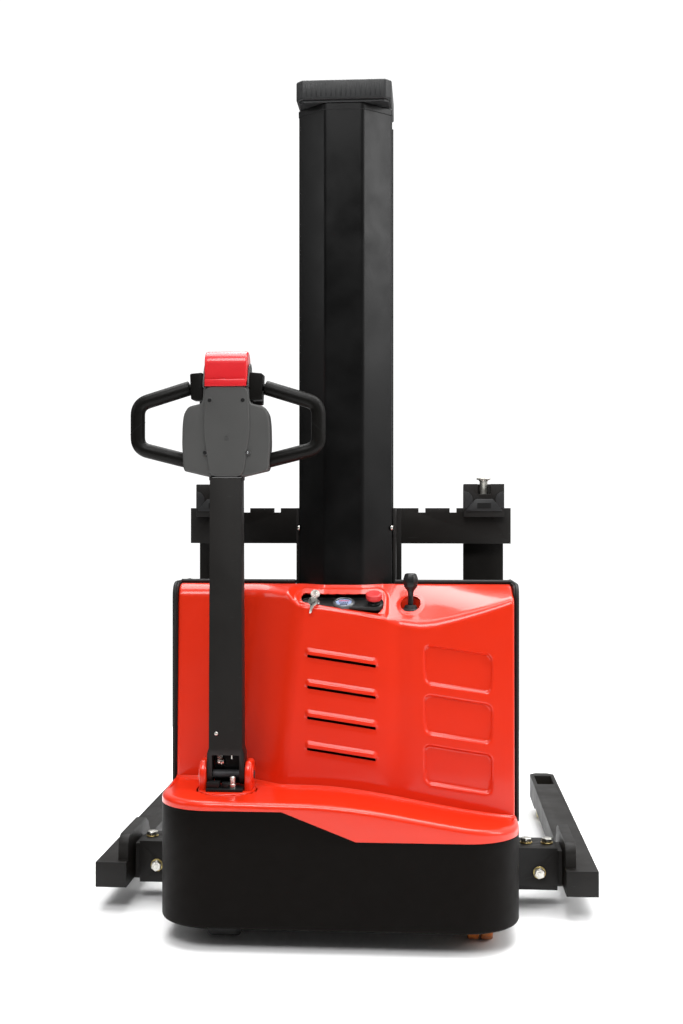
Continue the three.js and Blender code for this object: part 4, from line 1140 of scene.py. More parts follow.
def belly_button():
    """The red safety button: a half-round hood over a flat front, with a fixed apron below it."""
    front, back, foot = BUTTON.y0, BUTTON.y1, BUTTON.z0
    radius = (back - front) / 2
    centre_z = BUTTON.z1 - radius
    outline = [(front + 0.001, foot + 0.001), (front, foot + 0.010)]
    outline += [(front + radius * (1 - math.cos(a)), centre_z + radius * math.sin(a))
                for a in spaced([0.0, HALF_TURN], math.pi / 22)]
    outline += [(back, foot + 0.010), (back - 0.001, foot + 0.001)]
    cap = pillow(outline, "x", BUTTON.x0, BUTTON.x1, 0.0045, 5)
    piece("belly_button_cap", cap, BUTTON_RED, "belly_button", ["belly_button"])
    left, right = BUTTON.x0 + 0.0012, BUTTON.x1 - 0.0012
    apron = box(left, right, BACK - 0.0030, front + 0.0015, foot - 0.0075, foot + 0.0080)
    piece("belly_button_apron", apron, BUTTON_RED, "tiller", bevel=0.0012)


def throttle():
    """The butterfly: two winged paddles on a spindle, with finger ribs."""
    x, y, z = THROTTLE.x, THROTTLE.y, THROTTLE.z
    half, waist, belly = 0.024, 0.0055, 0.0075
    paddle = [(-waist, -half), (waist, -half), (belly, 0.0), (waist, half), (-waist, half), (-belly, 0.0)]
    paddle = shifted(rounded_outline(paddle, 0.004, 3), y, z)
    shapes = [rod(0.0088, -0.026, 0.026, "x", (x, y, z), 48)]
    ribs = 4
    for sign in (-1, 1):
        shapes.append(pillow(paddle, "x", x + sign * 0.0262, x + sign * 0.0748, 0.004, 4))
        for k in range(ribs):
            rib = x + sign * (0.036 + 0.009 * k)
            shapes.append(box(rib - 0.0012, rib + 0.0012, y - 0.0085, y + 0.0085, z - 0.016, z + 0.016))
    piece("throttle_butterfly", shapes, KNOB, "throttle", ["throttle"], bevel=0.0006)


def head_buttons():
    """Three domed push buttons on the far shell."""
    radius = 0.0088
    for node in ("lift_button", "lower_button", "horn_button"):
        spot = Span(node)
        height = spot.y1 - spot.y0
        dome = [(1.0, 0.0), (1.0, 0.72), (0.86, 0.92), (0.5, 1.0)]
        profile = [(0, 0.0), *((radius * a, height * b) for a, b in dome), (0, height)]
        colour = BUTTON_RED if node == "horn_button" else GREY
        cap = lathe(profile, "y", (spot.x, spot.y0, spot.z), 32)
        piece(f"{node}_cap", cap, colour, node, [node], bevel=0.0003)


near_shell()
far_shell()
head_screws()
side_blocks()
loop_handles()
belly_button()
throttle()
head_buttons()

# ---------------------------------------------------------------- mast cover, cap and chain
MAST_HALF = mast_cover_box.x1
FACET_DEPTH = 0.060
HEM = 0.0012
RAIL = Span("lift_cylinder")
PULLEY = Span("chain_pulley")
CHAIN = Span("lift_chain")
CHAIN_PITCH = 0.0159
PIN_RADIUS, PIN_HALF = 0.0024, 0.0080
PLATE_REACH, PLATE_WAIST, PLATE_HALF = 0.0036, 0.0021, 0.0009
TURN_RADIUS = (CHAIN.y1 - CHAIN.y0) / 2 - 0.0044
TURN_LINKS = 6


def mast_outline(offset):
    """Plan of the folded cover: a flat front, two facets, and sides back to the column."""
    front, back = mast_cover_box.y0, mast_cover_box.y1
    corners = mirror_outline([(FACET_HALF, front), (MAST_HALF, front + FACET_DEPTH), (MAST_HALF, back)])
    outline = rounded_outline(corners, 0.007, 5)
    return inset(outline, offset) if offset else outline


def mast_cover():
    """One folded sheet with a hem at its head."""
    low, high = mast_cover_box.z0, mast_cover_box.z1
    levels = [
        (SHEET, low), (0.0005, low), (0.0, low + 0.0005), (0.0, high - 0.016), (-HEM, high - 0.0145),
        (-HEM, high - 0.0015), (0.0, high), (SHEET, high),
    ]
    rings = [[(a, b, z) for a, b in mast_outline(offset)] for offset, z in levels]
    sheet = skin(rings, capped=False, looped=True)
    piece("mast_cover_sheet", sheet, BLACK_MAST, "chassis", ["mast_cover"])


def mast_screws():
    """Domed screws that hold the cover to the column, one on each side below the carriage's lip."""
    radius, back = 0.0058, -0.002
    profile = [(0, back), (radius, back), (radius, 0.0008), (0.0050, 0.0022), (0.0026, 0.0031), (0, 0.0032)]
    y, z = mast_cover_box.y1 - 0.012, carriage_box.z1 - 0.048
    shapes = [lathe(flipped(profile, sign), "x", (sign * MAST_HALF, y, z), 20) for sign in (-1, 1)]
    piece("mast_cover_screws", shapes, ZINC, "chassis")


def mast_cap():
    """A moulded cap: chamfered front corners, a rounded crown, fine ribs and a shadow gap below."""
    front, back = cap_box.y0, cap_box.y1
    half, front_half = cap_box.x1, cap_box.x1 - 0.014
    corners = mirror_outline([(front_half, front), (half, front + 0.016), (half, back)])
    outline = rounded_outline(corners, 0.0045, 4)
    base, top = cap_box.z0 + 0.0055, cap_box.z1
    neck = prism(inset(outline, 0.0065), "z", cap_box.z0 - 0.0002, base + 0.002)
    shapes = [pillow(outline, "z", base, top, 0.0042, 4), neck]
    piece("mast_cap_moulding", shapes, BLACK_CAP, "chassis", ["mast_cap"])
    edge = half - 0.010
    plate = box(-edge, edge, mast_box.y0 + 0.002, mast_box.y1 - 0.002, mast_box.z1, base + 0.002)
    piece("mast_head_plate", plate, BLACK_STEEL, "chassis", bevel=0.001)
    rib_half, rib_pitch = 0.0016, 0.0117
    ribs = [box(x - rib_half, x + rib_half, front - 0.0009, front + 0.002, base + 0.007, top - 0.009)
            for x in spaced([-front_half + 0.012, front_half - 0.012], rib_pitch)]
    piece("mast_cap_ribs", ribs, BLACK_CAP, "chassis", bevel=0.0007)


def plate_places(link):
    """Links have three and four plates in turn, side by side."""
    return (-0.0072, -0.0028, 0.0028, 0.0072) if link % 2 else (-0.0050, 0.0, 0.0050)


def chain_pin(y, z):
    return rod(PIN_RADIUS, -PIN_HALF, PIN_HALF, "x", (CHAIN.x, y, z), 10)


def chain_links(y, z_from, z_to):
    """Leaf chain between two heights: pins through stacks of waisted plates."""
    shapes = []
    count = max(2, round((z_to - z_from) / CHAIN_PITCH))
    pitch = (z_to - z_from) / count
    for k in range(count):
        z = z_from + k * pitch
        low, high = z - PLATE_REACH, z + pitch + PLATE_REACH
        plate = [(y - PLATE_REACH, low), (y + PLATE_REACH, low), (y + PLATE_WAIST, z + pitch / 2),
                 (y + PLATE_REACH, high), (y - PLATE_REACH, high), (y - PLATE_WAIST, z + pitch / 2)]
        shapes.append(chain_pin(y, z))
        for x in plate_places(k):
            shapes.append(prism(plate, "x", CHAIN.x + x - PLATE_HALF, CHAIN.x + x + PLATE_HALF))
    shapes.append(chain_pin(y, z_from + count * pitch))
    return shapes


def chain_strands():
    """Two straight strands of leaf chain, attached to no body."""
    near, far = PULLEY.y - TURN_RADIUS, PULLEY.y + TURN_RADIUS
    fixed_end, lift_end = RAIL.z1 - 0.020, carriage_box.z0 + 0.175
    bottom, above = Vector((0, far, lift_end)), Vector((0, far, 2 * PULLEY.z - lift_end))
    fixed_ride = ("chassis", "lift_ram", (0, near, fixed_end), (0, near, PULLEY.z))
    fixed, lifted = chain_links(near, fixed_end, PULLEY.z), chain_links(far, lift_end, PULLEY.z)
    piece("chain_fixed_strand", fixed, STEEL, fixed_ride, ["lift_chain"])
    piece("chain_lift_strand", lifted, STEEL, ("carriage", "chassis", bottom, above))


def chain_half_turn():
    """The chain's half turn over the pulley."""
    step = math.pi / TURN_LINKS
    half_link = TURN_RADIUS * math.sin(step / 2) + PLATE_REACH
    chord = TURN_RADIUS * math.cos(step / 2)
    right_end = [(half_link, -PLATE_REACH), (half_link, PLATE_REACH)]
    outline = mirror_outline(right_end)
    shapes = []
    for k in range(1, TURN_LINKS):
        across, up = TURN_RADIUS * math.cos(step * k), TURN_RADIUS * math.sin(step * k)
        shapes.append(chain_pin(PULLEY.y - across, PULLEY.z + up))
    for k in range(TURN_LINKS):
        angle = step * (k + 0.5)
        centre = (CHAIN.x, PULLEY.y - chord * math.cos(angle), PULLEY.z + chord * math.sin(angle))
        turn = Matrix.Translation(centre) @ Matrix.Rotation(QUARTER_TURN - angle, 4, "X")
        shapes += [moved(prism(outline, "x", x - PLATE_HALF, x + PLATE_HALF), turn) for x in plate_places(k)]
    piece("chain_half_turn", shapes, STEEL, "lift_ram")


# ---------------------------------------------------------------- fork locks
def lock_boss(side, pin, face, low):
    """The raised shapes on the front of a fork's hook: a boss with a slot, whose inside is a dark box of
    painted shade, and a half disc on each side.
    """
    rise, middle, radius = 0.030, low + 0.0275, 0.0215
    boss = mirror_outline([(0.044, low), (0.044, low + 0.004), (0.021, low + rise)])
    shapes = [prism(shifted(boss, pin.x), "y", face - 0.0045, face + 0.001)]
    for sign in (-1, 1):
        edge = pin.x + sign * 0.0495
        arc = [(edge - sign * radius * math.sin(a), middle + radius * math.cos(a))
               for a in spaced([0.0, HALF_TURN], math.pi / 16)]
        shapes.append(prism(arc, "y", face - 0.0025, face + 0.001))
    piece(f"fork_lock_boss_{side}", shapes, BLACK_CAP, f"fork_{side}", bevel=0.0010)
    # The slot is painted shade: a dark box just proud of the boss's face
    slot = box(pin.x - 0.017, pin.x + 0.017, face - 0.0049, face - 0.003, low + 0.0065, low + 0.0200)
    piece(f"fork_lock_slot_shade_{side}", slot, SHADE_AND_SEAM_BLACK, f"fork_{side}")


def lock_pin(side, pin):
    """A plated pin with a wide rounded head."""
    high = pin.z1 - pin.z0
    neck = 0.0098
    profile = [(0, 0.0), (neck, 0.0), (neck, high - 0.0100), (0.0120, high - 0.0060), (0.0172, high - 0.0046),
               (0.0178, high - 0.0030), (0.0174, high - 0.0010), (0.0150, high), (0, high)]
    stem = lathe(profile, "z", (pin.x, pin.y, pin.z0), 36)
    node = f"fork_pin_{side}"
    piece(f"fork_pin_head_{side}", stem, PIN_ZINC, node, [node])


def fork_locks():
    for side in ("left", "right"):
        pin = Span(f"fork_pin_{side}")
        lock_boss(side, pin, Span(f"fork_{side}").y0, carriage_box.z1 - 0.0075)
        lock_pin(side, pin)


mast_cover()
mast_screws()
mast_cap()
chain_strands()
chain_half_turn()
fork_locks()

# ---------------------------------------------------------------- console and lift lever
CONSOLE = Span("battery_gauge")
CONSOLE_TILT = math.radians(22)
KEY_X, STOP_X = Span("key").x - CONSOLE.x, Span("emergency_stop").x - CONSOLE.x
KEY_Y, STOP_Y = 0.004, 0.002
CONSOLE_PLACE = Matrix.Translation((CONSOLE.x, CONSOLE.y, CONSOLE.z)) @ Matrix.Rotation(CONSOLE_TILT, 4, "X")


def console_piece(name, shapes, material, body, replaces=(), bevel=0.0):
    """Shapes drawn flat, with z standing on the tray, moved to the tilted console as one piece."""
    piece(name, [moved(shape, CONSOLE_PLACE) for shape in shapes], material, body, replaces, bevel)


def disc(profile, x, y=0.0, count=40):
    return lathe(profile, "z", (x, y, 0.0), count)


def console_tray():
    """A shallow tray with a raised rim and the key switch's bezel."""
    half_length, back, front = 0.0958, 0.0268, -0.0225
    left, right = -CONSOLE.x - half_length, -CONSOLE.x + half_length
    corners = [(left, front), (right, front), (right, back), (left, back)]
    outline = rounded_outline(corners, 0.030, 8)
    levels = ((0.0, 0.0), (0.0, 0.0022), (0.0008, 0.003), (0.002, 0.003), (0.0028, 0.0))
    rim = skin([[(a, b, h) for a, b in inset(outline, d)] for d, h in levels], capped=False, looped=True)
    shapes = [prism(outline, "z", -0.0078, 0.0002), rim]
    console_piece("console_tray_moulding", shapes, KNOB, "chassis", ["console_tray"], 0.0004)
    inner, outer = 0.0042, 0.0112
    bezel = [(inner, 0.0), (outer, 0.0), (outer, 0.0022), (0.0100, 0.0040), (0.0046, 0.0040), (inner, 0.0030)]
    console_piece("key_switch_bezel", [disc(bezel, KEY_X, KEY_Y)], STEEL, "chassis")


def gauge():
    """Round battery gauge: smoky bezel, pale dial with a generic row of segments, clear lens."""
    inner, outer, back = 0.0188, 0.0262, -0.004
    bezel = [(inner, back), (outer, back), (outer, 0.0030), (0.0246, 0.0052), (0.0206, 0.0068),
             (inner, 0.0058)]
    console_piece("gauge_bezel", [disc(bezel, 0.0)], BEZEL, "chassis", ["battery_gauge"])
    dial = rod(0.0190, -0.002, 0.0026, "z", (0.0, 0.0, 0.0), 40)
    console_piece("gauge_dial_plate", [dial], DIAL, "chassis")
    low, high = 0.0024, 0.0029
    count, pitch, width = 5, 0.0043, 0.0032
    marks = []
    for k in range(count):
        left = -0.0105 + pitch * k
        marks.append(box(left, left + width, -0.001, 0.0036, low, high))
    marks.append(box(-0.0085, 0.0085, -0.0095, -0.0045, low, high))
    console_piece("gauge_segments", marks, BLACK_TRIM, "chassis")
    band = box(-0.0120, 0.0120, 0.0070, 0.0105, low, high)
    console_piece("gauge_red_band", [band], BUTTON_RED, "chassis")
    lens = [(0, 0.0038), (0.0192, 0.0038), (0.0192, 0.0046), (0.0150, 0.0054), (0.0080, 0.0060), (0, 0.0062)]
    console_piece("gauge_lens_cover", [disc(lens, 0.0)], LENS, "chassis")


def emergency_stop():
    """Mushroom head with a domed crown and a finger groove, on a black collar and stem."""
    bore, rim = 0.0106, 0.0150
    collar = [(bore, 0.0), (rim, 0.0), (rim, 0.0030), (0.0136, 0.0044), (bore, 0.0044)]
    console_piece("stop_collar", [disc(collar, STOP_X, STOP_Y)], KNOB, "chassis")
    stem = rod(0.0098, 0.0002, 0.0118, "z", (STOP_X, STOP_Y, 0.0), 40)
    console_piece("stop_stem", [stem], KNOB, "emergency_stop")
    head = [(0, 0.0112), (0.0120, 0.0112), (0.0172, 0.0124), (0.0186, 0.0146), (0.0190, 0.0220),
            (0.0182, 0.0254), (0.0160, 0.0268), (0.0125, 0.0271), (0.0105, 0.0266), (0.0060, 0.0264),
            (0, 0.0264)]
    mushroom = disc(head, STOP_X, STOP_Y, 56)
    console_piece("stop_mushroom", [mushroom], STOP_RED, "emergency_stop", ["emergency_stop"])


def key_shape(length):
    """A flat key drawn in x and z, hanging down: round bow, shoulders, and a blade with cuts."""
    bow = [(0.0108 * math.cos(a), 0.0108 * math.sin(a)) for a in spaced([-1.2, math.pi + 1.2], 0.35)]
    half, neck, shoulder, slope = 0.0030, -0.0125, -0.0150, -0.0158
    outer = 0.0042
    blade = [(-outer, neck), (-outer, shoulder), (-half, slope), (-half, -length + 0.002), (-0.0008, -length)]
    blade.append((0.0014, -length + 0.002))
    cuts = 4
    for k in range(cuts):
        z = -length + 0.004 + (length - 0.021) * k / cuts
        blade += [(half, z), (0.0018, z + 0.0018)]
    blade += [(half, slope), (outer, shoulder), (outer, neck)]
    return prism(bow + blade, "y", -0.0011, 0.0011)


def keys():
    """The key in its switch, and a ring over the rim with the spare key."""
    inserted = moved(key_shape(0.0265), Matrix.Translation((KEY_X, KEY_Y, 0.0235)))
    console_piece("key_in_switch", [inserted], ZINC, "key", ["key"], 0.0003)
    ring_centre = Vector((KEY_X + 0.001, -0.0095, 0.0270))
    ring = [ring_centre + Vector((0.0035 * math.sin(a), 0.0125 * math.cos(a), 0.0100 * math.sin(a)))
            for a in spaced([0, FULL_TURN], 0.3)]
    hang = Matrix.Rotation(math.radians(-24), 4, "X") @ Matrix.Rotation(0.22, 4, "Y")
    spare = moved(key_shape(0.0290), Matrix.Translation((KEY_X - 0.003, -0.0268, 0.0195)) @ hang)
    console_piece("spare_key_on_ring", [sweep(ring, 0.0008, 8), spare], ZINC, "chassis", (), 0.0003)


def lever_top(y):
    """Height of the cover beside the lever."""
    brow = cover_brow(LEVER.x)
    front, back = cover_front(LEVER.x, brow), cover_back(LEVER.x)
    return lerp(brow, cover_box.z1, (y - front) / (back - front))


def lever_well():
    """The red tube that lines the lever's opening, its top edge following the cover."""
    rings = []
    for radius, up in ((WELL, 0), (WELL, 1), (WELL + 0.0016, 1), (WELL + 0.0016, 0)):
        plan = circle(radius, 48, (LEVER.x, LEVER.y))
        rings.append([(a, b, lerp(LEVER.z0 - 0.006, lever_top(b) - 0.0006, up)) for a, b in plan])
    piece("lever_well", skin(rings, capped=False, looped=True), RED, "chassis")


def lever_boot():
    """A low ribbed boot at the bottom of the well."""
    bore = 0.0103
    profile = [(bore, -0.004), (0.0226, -0.004), (0.0228, 0.0060), (0.0205, 0.0085), (0.0160, 0.0098),
               (0.0140, 0.0150), (0.0126, 0.0172), (bore, 0.0176)]
    bellows = lathe(profile, "z", (LEVER.x, LEVER.y, LEVER.z0), 40)
    piece("lever_boot_bellows", bellows, BLACK_TRIM, "chassis", ["lever_boot"])


def lift_lever():
    """A faceted knob on a tapered stem."""
    lever = Span("lift_lever")
    top = lever.z1 - 0.003
    foot, head = 0.002, top - 0.050 - lever.z0
    taper = [(0, foot), (0.0064, foot), (0.0062, head), (0, head)]
    stem = lathe(taper, "z", (lever.x, lever.y, lever.z0), 24)
    sides = 8
    levels = ((0.0066, 0.052), (0.0070, 0.045), (0.0080, 0.041), (0.0165, 0.031), (0.0182, 0.022),
              (0.0182, 0.012), (0.0145, 0.0020), (0.0095, 0.0))
    knob = [[(a, b, top - down) for a, b in circle(radius, sides, (lever.x, lever.y), math.pi / sides)]
            for radius, down in levels]
    shapes = [stem, skin(knob)]
    piece("lift_lever_knob", shapes, KNOB, "lift_lever", ["lift_lever"], bevel=0.0012)


console_tray()
gauge()
emergency_stop()
keys()
lever_well()
lever_boot()
lift_lever()

# ---------------------------------------------------------------- foot of the tiller
YOKE = Span("tiller_yoke")
HINGE = Span("tiller_pin")
YOKE_FLOOR = YOKE.z0 + 0.0165  # top of the plate between the cheeks


def yoke():
    """Red turntable with two rounded cheeks that hold the tiller's hinge."""
    base = YOKE.z0
    rim = 0.0656
    table = [(0, 0.0), (0.0648, 0.0), (rim, 0.0008), (rim, 0.0078), (0.0640, 0.0098), (0, 0.0100)]
    shapes = [lathe(table, "z", (HINGE.x, STEER.y, base), 72)]
    shoulder, crown = base + 0.076, YOKE.z1 - 0.0065
    cheek = [(-0.030, base), (0.034, base), (0.034, base + 0.054), (0.022, shoulder), (0.004, crown),
             (-0.014, shoulder), (-0.030, base + 0.054)]
    cheek = shifted(rounded_outline(cheek, 0.012, 5), HINGE.y)
    boss = [(0, 0.0), (0.0205, 0.0), (0.0205, 0.0012), (0.0185, 0.0028), (0, 0.0028)]
    for sign in (-1, 1):
        shapes.append(pillow(cheek, "x", HINGE.x + sign * 0.0433, HINGE.x + sign * 0.0600, 0.0065, 5))
        shapes.append(lathe(flipped(boss, sign), "x", (HINGE.x + sign * 0.0590, HINGE.y, HINGE.z), 40))
    piece("yoke_casting", shapes, RED, "drive_unit", ["tiller_yoke"], bevel=0.0006)


def hinge_pin():
    """Black pin with a retaining ring outside each cheek."""
    half, chamfer = HINGE.x1 - HINGE.x, 0.0012
    thin, full = 0.0086, 0.0098
    step = half - chamfer
    profile = [(0, -half), (thin, -half), (full, -step), (full, step), (thin, half), (0, half)]
    pin = lathe(profile, "x", (HINGE.x, HINGE.y, HINGE.z), 40)
    piece("hinge_pin", pin, IRON, "drive_unit", ["tiller_pin"])
    ring = [(0.0096, -0.0006), (0.0120, -0.0006), (0.0120, 0.0006), (0.0096, 0.0006)]
    rings = [lathe(ring, "x", (HINGE.x + sign * (half - 0.0030), HINGE.y, HINGE.z), 32) for sign in (-1, 1)]
    piece("hinge_rings", rings, ZINC, "drive_unit")


def yoke_floor():
    """What stands between the cheeks: a plate with a block and a round seat, and the brake plunger."""
    x, y, floor_height = HINGE.x, HINGE.y, YOKE_FLOOR
    plate = box(x - 0.0415, x + 0.0415, y - 0.044, y + 0.030, YOKE.z0 + 0.0101, floor_height)
    block = box(x - 0.0405, x - 0.0120, y - 0.036, y - 0.0135, floor_height, floor_height + 0.0135)
    seat = rod(0.0098, 0.0, 0.0120, "z", (x + 0.0020, y - 0.026, floor_height), 28)
    piece("yoke_floor", [plate, block, seat], KNOB, "drive_unit", bevel=0.0012)
    foot, stem, high = 0.0078, 0.0066, 0.0258
    profile = [(0, 0), (foot, 0), (foot, 0.0080), (stem, 0.0095), (stem, 0.0240), (0.0050, high), (0, high)]
    plunger = lathe(profile, "z", (x + 0.0170, y - 0.027, floor_height), 32)
    piece("brake_plunger", plunger, ZINC, "drive_unit")


def arm_fittings():
    """What shows in the arm's mouth: a dark plate of painted shade at its back, a coil spring and a short
    rod.
    """
    x, y, z = HINGE.x, HINGE.y, HINGE.z
    # Painted shade: a dark plate behind the spring, in place of the shaded inside of the arm
    mouth_shade = box(x - 0.0306, x + 0.0306, y + 0.0125, y + 0.0165, z - 0.0235, z + 0.068)
    piece("arm_mouth_shade", mouth_shade, SHADE_AND_SEAM_BLACK, "tiller", bevel=0.001)
    coils, coil_radius, height = 7, 0.0050, 0.030
    turns = spaced([0.0, coils * FULL_TURN], math.pi / 8)
    foot = Vector((x - 0.0170, y - 0.0060, z + 0.024))
    spring = [foot + Vector((coil_radius * math.cos(a), coil_radius * math.sin(a), height * a / turns[-1]))
              for a in turns]
    short_rod = rod(0.0020, 0.0, 0.018, "z", (x + 0.0125, y - 0.0092, z + 0.036), 16)
    piece("hinge_spring", [sweep(spring, 0.0011, 8), short_rod], ZINC, "tiller")


def arm_screw():
    """Pan-head screw low on the arm, and the two lugs where the arm enters the head."""
    radius, back = 0.0045, 0.001
    head = [(0, back), (radius, back), (radius, -0.0009), (0.0034, -0.0023), (0.0012, -0.0029), (0, -0.0029)]
    screw = lathe(head, "y", (HEAD_X - 0.0210, arm_box.y0, HINGE.z + 0.095), 28)
    piece("arm_screw", screw, ZINC, "tiller")
    half, low, high = 0.0022, HEAD_LOW - 0.007, HEAD_LOW + 0.002
    lugs = []
    for sign in (-1, 1):
        x = HEAD_X + sign * 0.0368
        lugs.append(box(x - half, x + half, HEAD_Y - 0.012, HEAD_Y + 0.012, low, high))
    piece("arm_lugs", lugs, IRON, "tiller", bevel=0.001)


yoke()
hinge_pin()
yoke_floor()
arm_fittings()
arm_screw()

# ---------------------------------------------------------------- wheels, bolts and legs
SHOULDER = 0.005  # rounding of a tread's edges


def both_sides(profile):
    """A profile given up to the wheel's middle, joined to its mirror image."""
    return profile + [(r, -h) for r, h in reversed(profile)]


def tyred_wheel(node, width, tyre_depth, hub_radius, bore, shift=0.0):
    """A wheel across the truck: tread with rounded shoulders, dished hub and bearing faces."""
    spot = Span(node)
    outer, half = (spot.z1 - spot.z0) / 2, width / 2
    inner, dish, lip = outer - tyre_depth, -half + 0.008, -half + 0.002
    tread = [(inner, -half + 0.001), (outer - SHOULDER, -half)]
    tread += [(outer - SHOULDER + up, -half + along_axis) for along_axis, up in quarter_round(SHOULDER, 5)]
    boss = -half + 0.003
    hub = [(bore, boss), (hub_radius, boss), (hub_radius + 0.003, dish),
           (inner - 0.005, dish), (inner - 0.003, lip), (inner + 0.0005, lip)]
    centre = (spot.x + shift, spot.y, spot.z)
    return lathe(both_sides(tread), "x", centre, 72), lathe(both_sides(hub), "x", centre, 56)


def drive_wheel():
    """The drive wheel, with six bolts round its hub."""
    drive = Span("drive_wheel")
    tread, hub = tyred_wheel("drive_wheel", drive.x1 - drive.x0, 0.022, 0.064, 0.0528)
    piece("drive_wheel_tread", tread, DRIVE_TYRE, "drive_wheel", ["drive_wheel"])
    face = drive.x0 + 0.0075
    ring = shifted(circle(0.071, 6), drive.y, drive.z)
    bolts = [rod(0.0048, -0.0045, 0.004, "x", (face, y, z), 6) for y, z in ring]
    piece("drive_wheel_hub", [hub, *bolts], IRON, "drive_wheel", bevel=0.0006)


def caster_wheels():
    """The twin caster: two narrow wheels on one axle."""
    pair = [tyred_wheel("caster_wheel", 0.026, 0.014, 0.013, 0.0066, sign * 0.015) for sign in (-1, 1)]
    treads, hubs = [list(shapes) for shapes in zip(*pair)]
    piece("caster_treads", treads, AMBER, "caster_wheel", ["caster_wheel"])
    piece("caster_hubs", hubs, IRON, "caster_wheel", bevel=0.0005)


def load_wheels():
    """One wheel in the end of each leg."""
    for name in ("left", "right"):
        node = f"load_wheel_{name}"
        spot = Span(node)
        tread, hub = tyred_wheel(node, spot.x1 - spot.x0, 0.012, 0.014, 0.0086)
        piece(f"load_wheel_tread_{name}", tread, CREAM, node, [node])
        piece(f"load_wheel_hub_{name}", hub, STEEL, node, bevel=0.0005)


def mast_rollers():
    """Mast rollers: a crowned ring with a seal groove round the bearing's inner race."""
    for place in ("left_lower", "left_upper", "right_lower", "right_upper"):
        node = f"mast_roller_{place}"
        spot = Span(node)
        outer, half = (spot.z1 - spot.z0) / 2, (spot.x1 - spot.x0) / 2
        race, groove = -half + 0.002, -half + 0.0045
        face = [(0.0136, race), (0.024, race), (0.0245, groove), (0.034, groove),
                (0.0345, -half), (outer - 0.003, -half), (outer - 0.0003, -half + 0.003)]
        profile = face + [(outer, 0.0)] + [(r, -h) for r, h in reversed(face)]
        ring = lathe(profile, "x", (spot.x, spot.y, spot.z), 56)
        piece(f"{node}_ring", ring, STEEL, f"roller_{place}", [node])


def hex_head(across, height):
    """A hexagon head standing on z = 0: a washer face below and chamfered corners above."""
    corner = across / math.sqrt(3)
    levels = ((0.90, 0.0), (0.90, 0.0005), (1.0, 0.0006), (1.0, height * 0.82), (0.93, height * 0.96),
              (0.80, height))
    return skin([[(a, b, h) for a, b in circle(corner * share, 6, turn=0.35)] for share, h in levels])


def leg_bolts():
    """M16 clamp bolts with plain washers, in clear and yellow zinc."""
    stack = 0.0128  # from the washer's seat to the head's top
    origin = (0, 0, 0)
    head = moved(hex_head(0.0238, 0.0100), Matrix.Translation((0, 0, 0.0027)))
    mark = lathe([(0, 0.0125), (0.0052, 0.0125), (0.0056, stack), (0, stack)], "z", origin, 24)
    shank = rod(0.0079, -0.0095, 0.003, "z", origin)
    bore, rim = 0.0085, 0.0151
    ring = [(bore, 0.0), (0.0148, 0.0), (rim, 0.0006), (rim, 0.0021), (0.0146, 0.0026), (bore, 0.0026)]
    washer = lathe(ring, "z", origin, 40)
    names = [node for node in frame["nodes"] if node.startswith("leg_bolt")]
    heads, washers = [], []
    for node in names:
        spot = Span(node)
        if "front" in node:
            face_forward = Matrix.Rotation(QUARTER_TURN, 4, "X")
            seat = Matrix.Translation((spot.x, spot.y0 + stack, spot.z)) @ face_forward
        else:
            seat = Matrix.Translation((spot.x, spot.y, spot.z1 - stack))
        heads += [moved(shape, seat) for shape in (head, mark, shank)]
        washers.append(moved(washer, seat))
    piece("leg_bolt_heads", heads, ZINC, "chassis", names, bevel=0.0004)
    piece("leg_bolt_washers", washers, YELLOW_ZINC, "chassis", bevel=0.0003)


drive_wheel()
caster_wheels()
load_wheels()
mast_rollers()
leg_bolts()

# ---------------------------------------------------------------- edge trims
TRIM_RADIUS, LID_TRIM_RADIUS = 0.0048, 0.0052
TRIM_X = HALF + 0.0008
PLATE = 0.006
BODY_TOP = cover_box.z1 + 0.003
LID_FRONT, LID_BACK = FRONT + 0.305, FRONT + 0.446


def edge_trim(name, sign, front, bottom):
    """Rubber beads along a side plate's front and top edges, and along the rear lid's two edges."""
    x, rear_y, rear_z = sign * TRIM_X, LID_BACK - PLATE / 2, BODY_TOP - 0.0058
    corners = [(x, front, bottom), (x, front, BODY_TOP), (x, LID_BACK, BODY_TOP - 0.0035)]
    side = smooth_path(corners, 0.034, 10)
    lid_z = BODY_TOP + 0.0022
    lid = [(sign * 0.120, LID_FRONT, lid_z), (sign * (HALF - PLATE), LID_FRONT, lid_z)]
    rear = [(sign * 0.123, rear_y, rear_z), (x, rear_y, rear_z)]
    beads = [sweep(side, TRIM_RADIUS, 14), sweep(lid, LID_TRIM_RADIUS, 12), sweep(rear, TRIM_RADIUS, 14)]
    piece(f"edge_trim_{name}", beads, BLACK_TRIM, "chassis")


edge_trim("left", -1, FRONT + 0.250, shelf_box.z0 + 0.065)
edge_trim("right", 1, FRONT + 0.192, shelf_box.z0 + 0.005)

# ---------------------------------------------------------------- stage, light and camera
ROOM_LIGHT = (0.06, 1.0)  # darkest and brightest part of the room
ROOM_BRIGHT_SIDE = (0.62, 0.45, 0.64)
SKY_STRENGTH = 1.1  # what the camera sees behind the truck
FLOOR_REACH, FLOOR_TILE = 2.6, 0.4
CAMERA_X, CAMERA_HEIGHT, CAMERA_DISTANCE = 0.203, 0.957, 2.70
CAMERA_PITCH, CAMERA_TURN = 89.93, 4.02
SENSOR, FOCAL_LENGTH = 36.0, 44.3


def floor():
    ticks = spaced([-FLOOR_REACH, FLOOR_REACH], FLOOR_TILE)
    points = [(x, y - 0.6, 0.0) for y in ticks for x in ticks]
    row = len(ticks)
    faces = []
    for j in range(row - 1):
        for i in range(row - 1):
            a = j * row + i
            faces.append((a, a + 1, a + row + 1, a + row))
    data = bpy.data.meshes.new("studio_floor")
    data.from_pydata(points, [], faces)
    finish = Finish("pale_floor")
    finish.drive("Base Color", finish.mix(finish.noise(1.5), grey(0.86), grey(0.88)))
    finish.set(Roughness=0.7, Specular_IOR_Level=0.2)
    placed("studio_floor", data, finish.material)


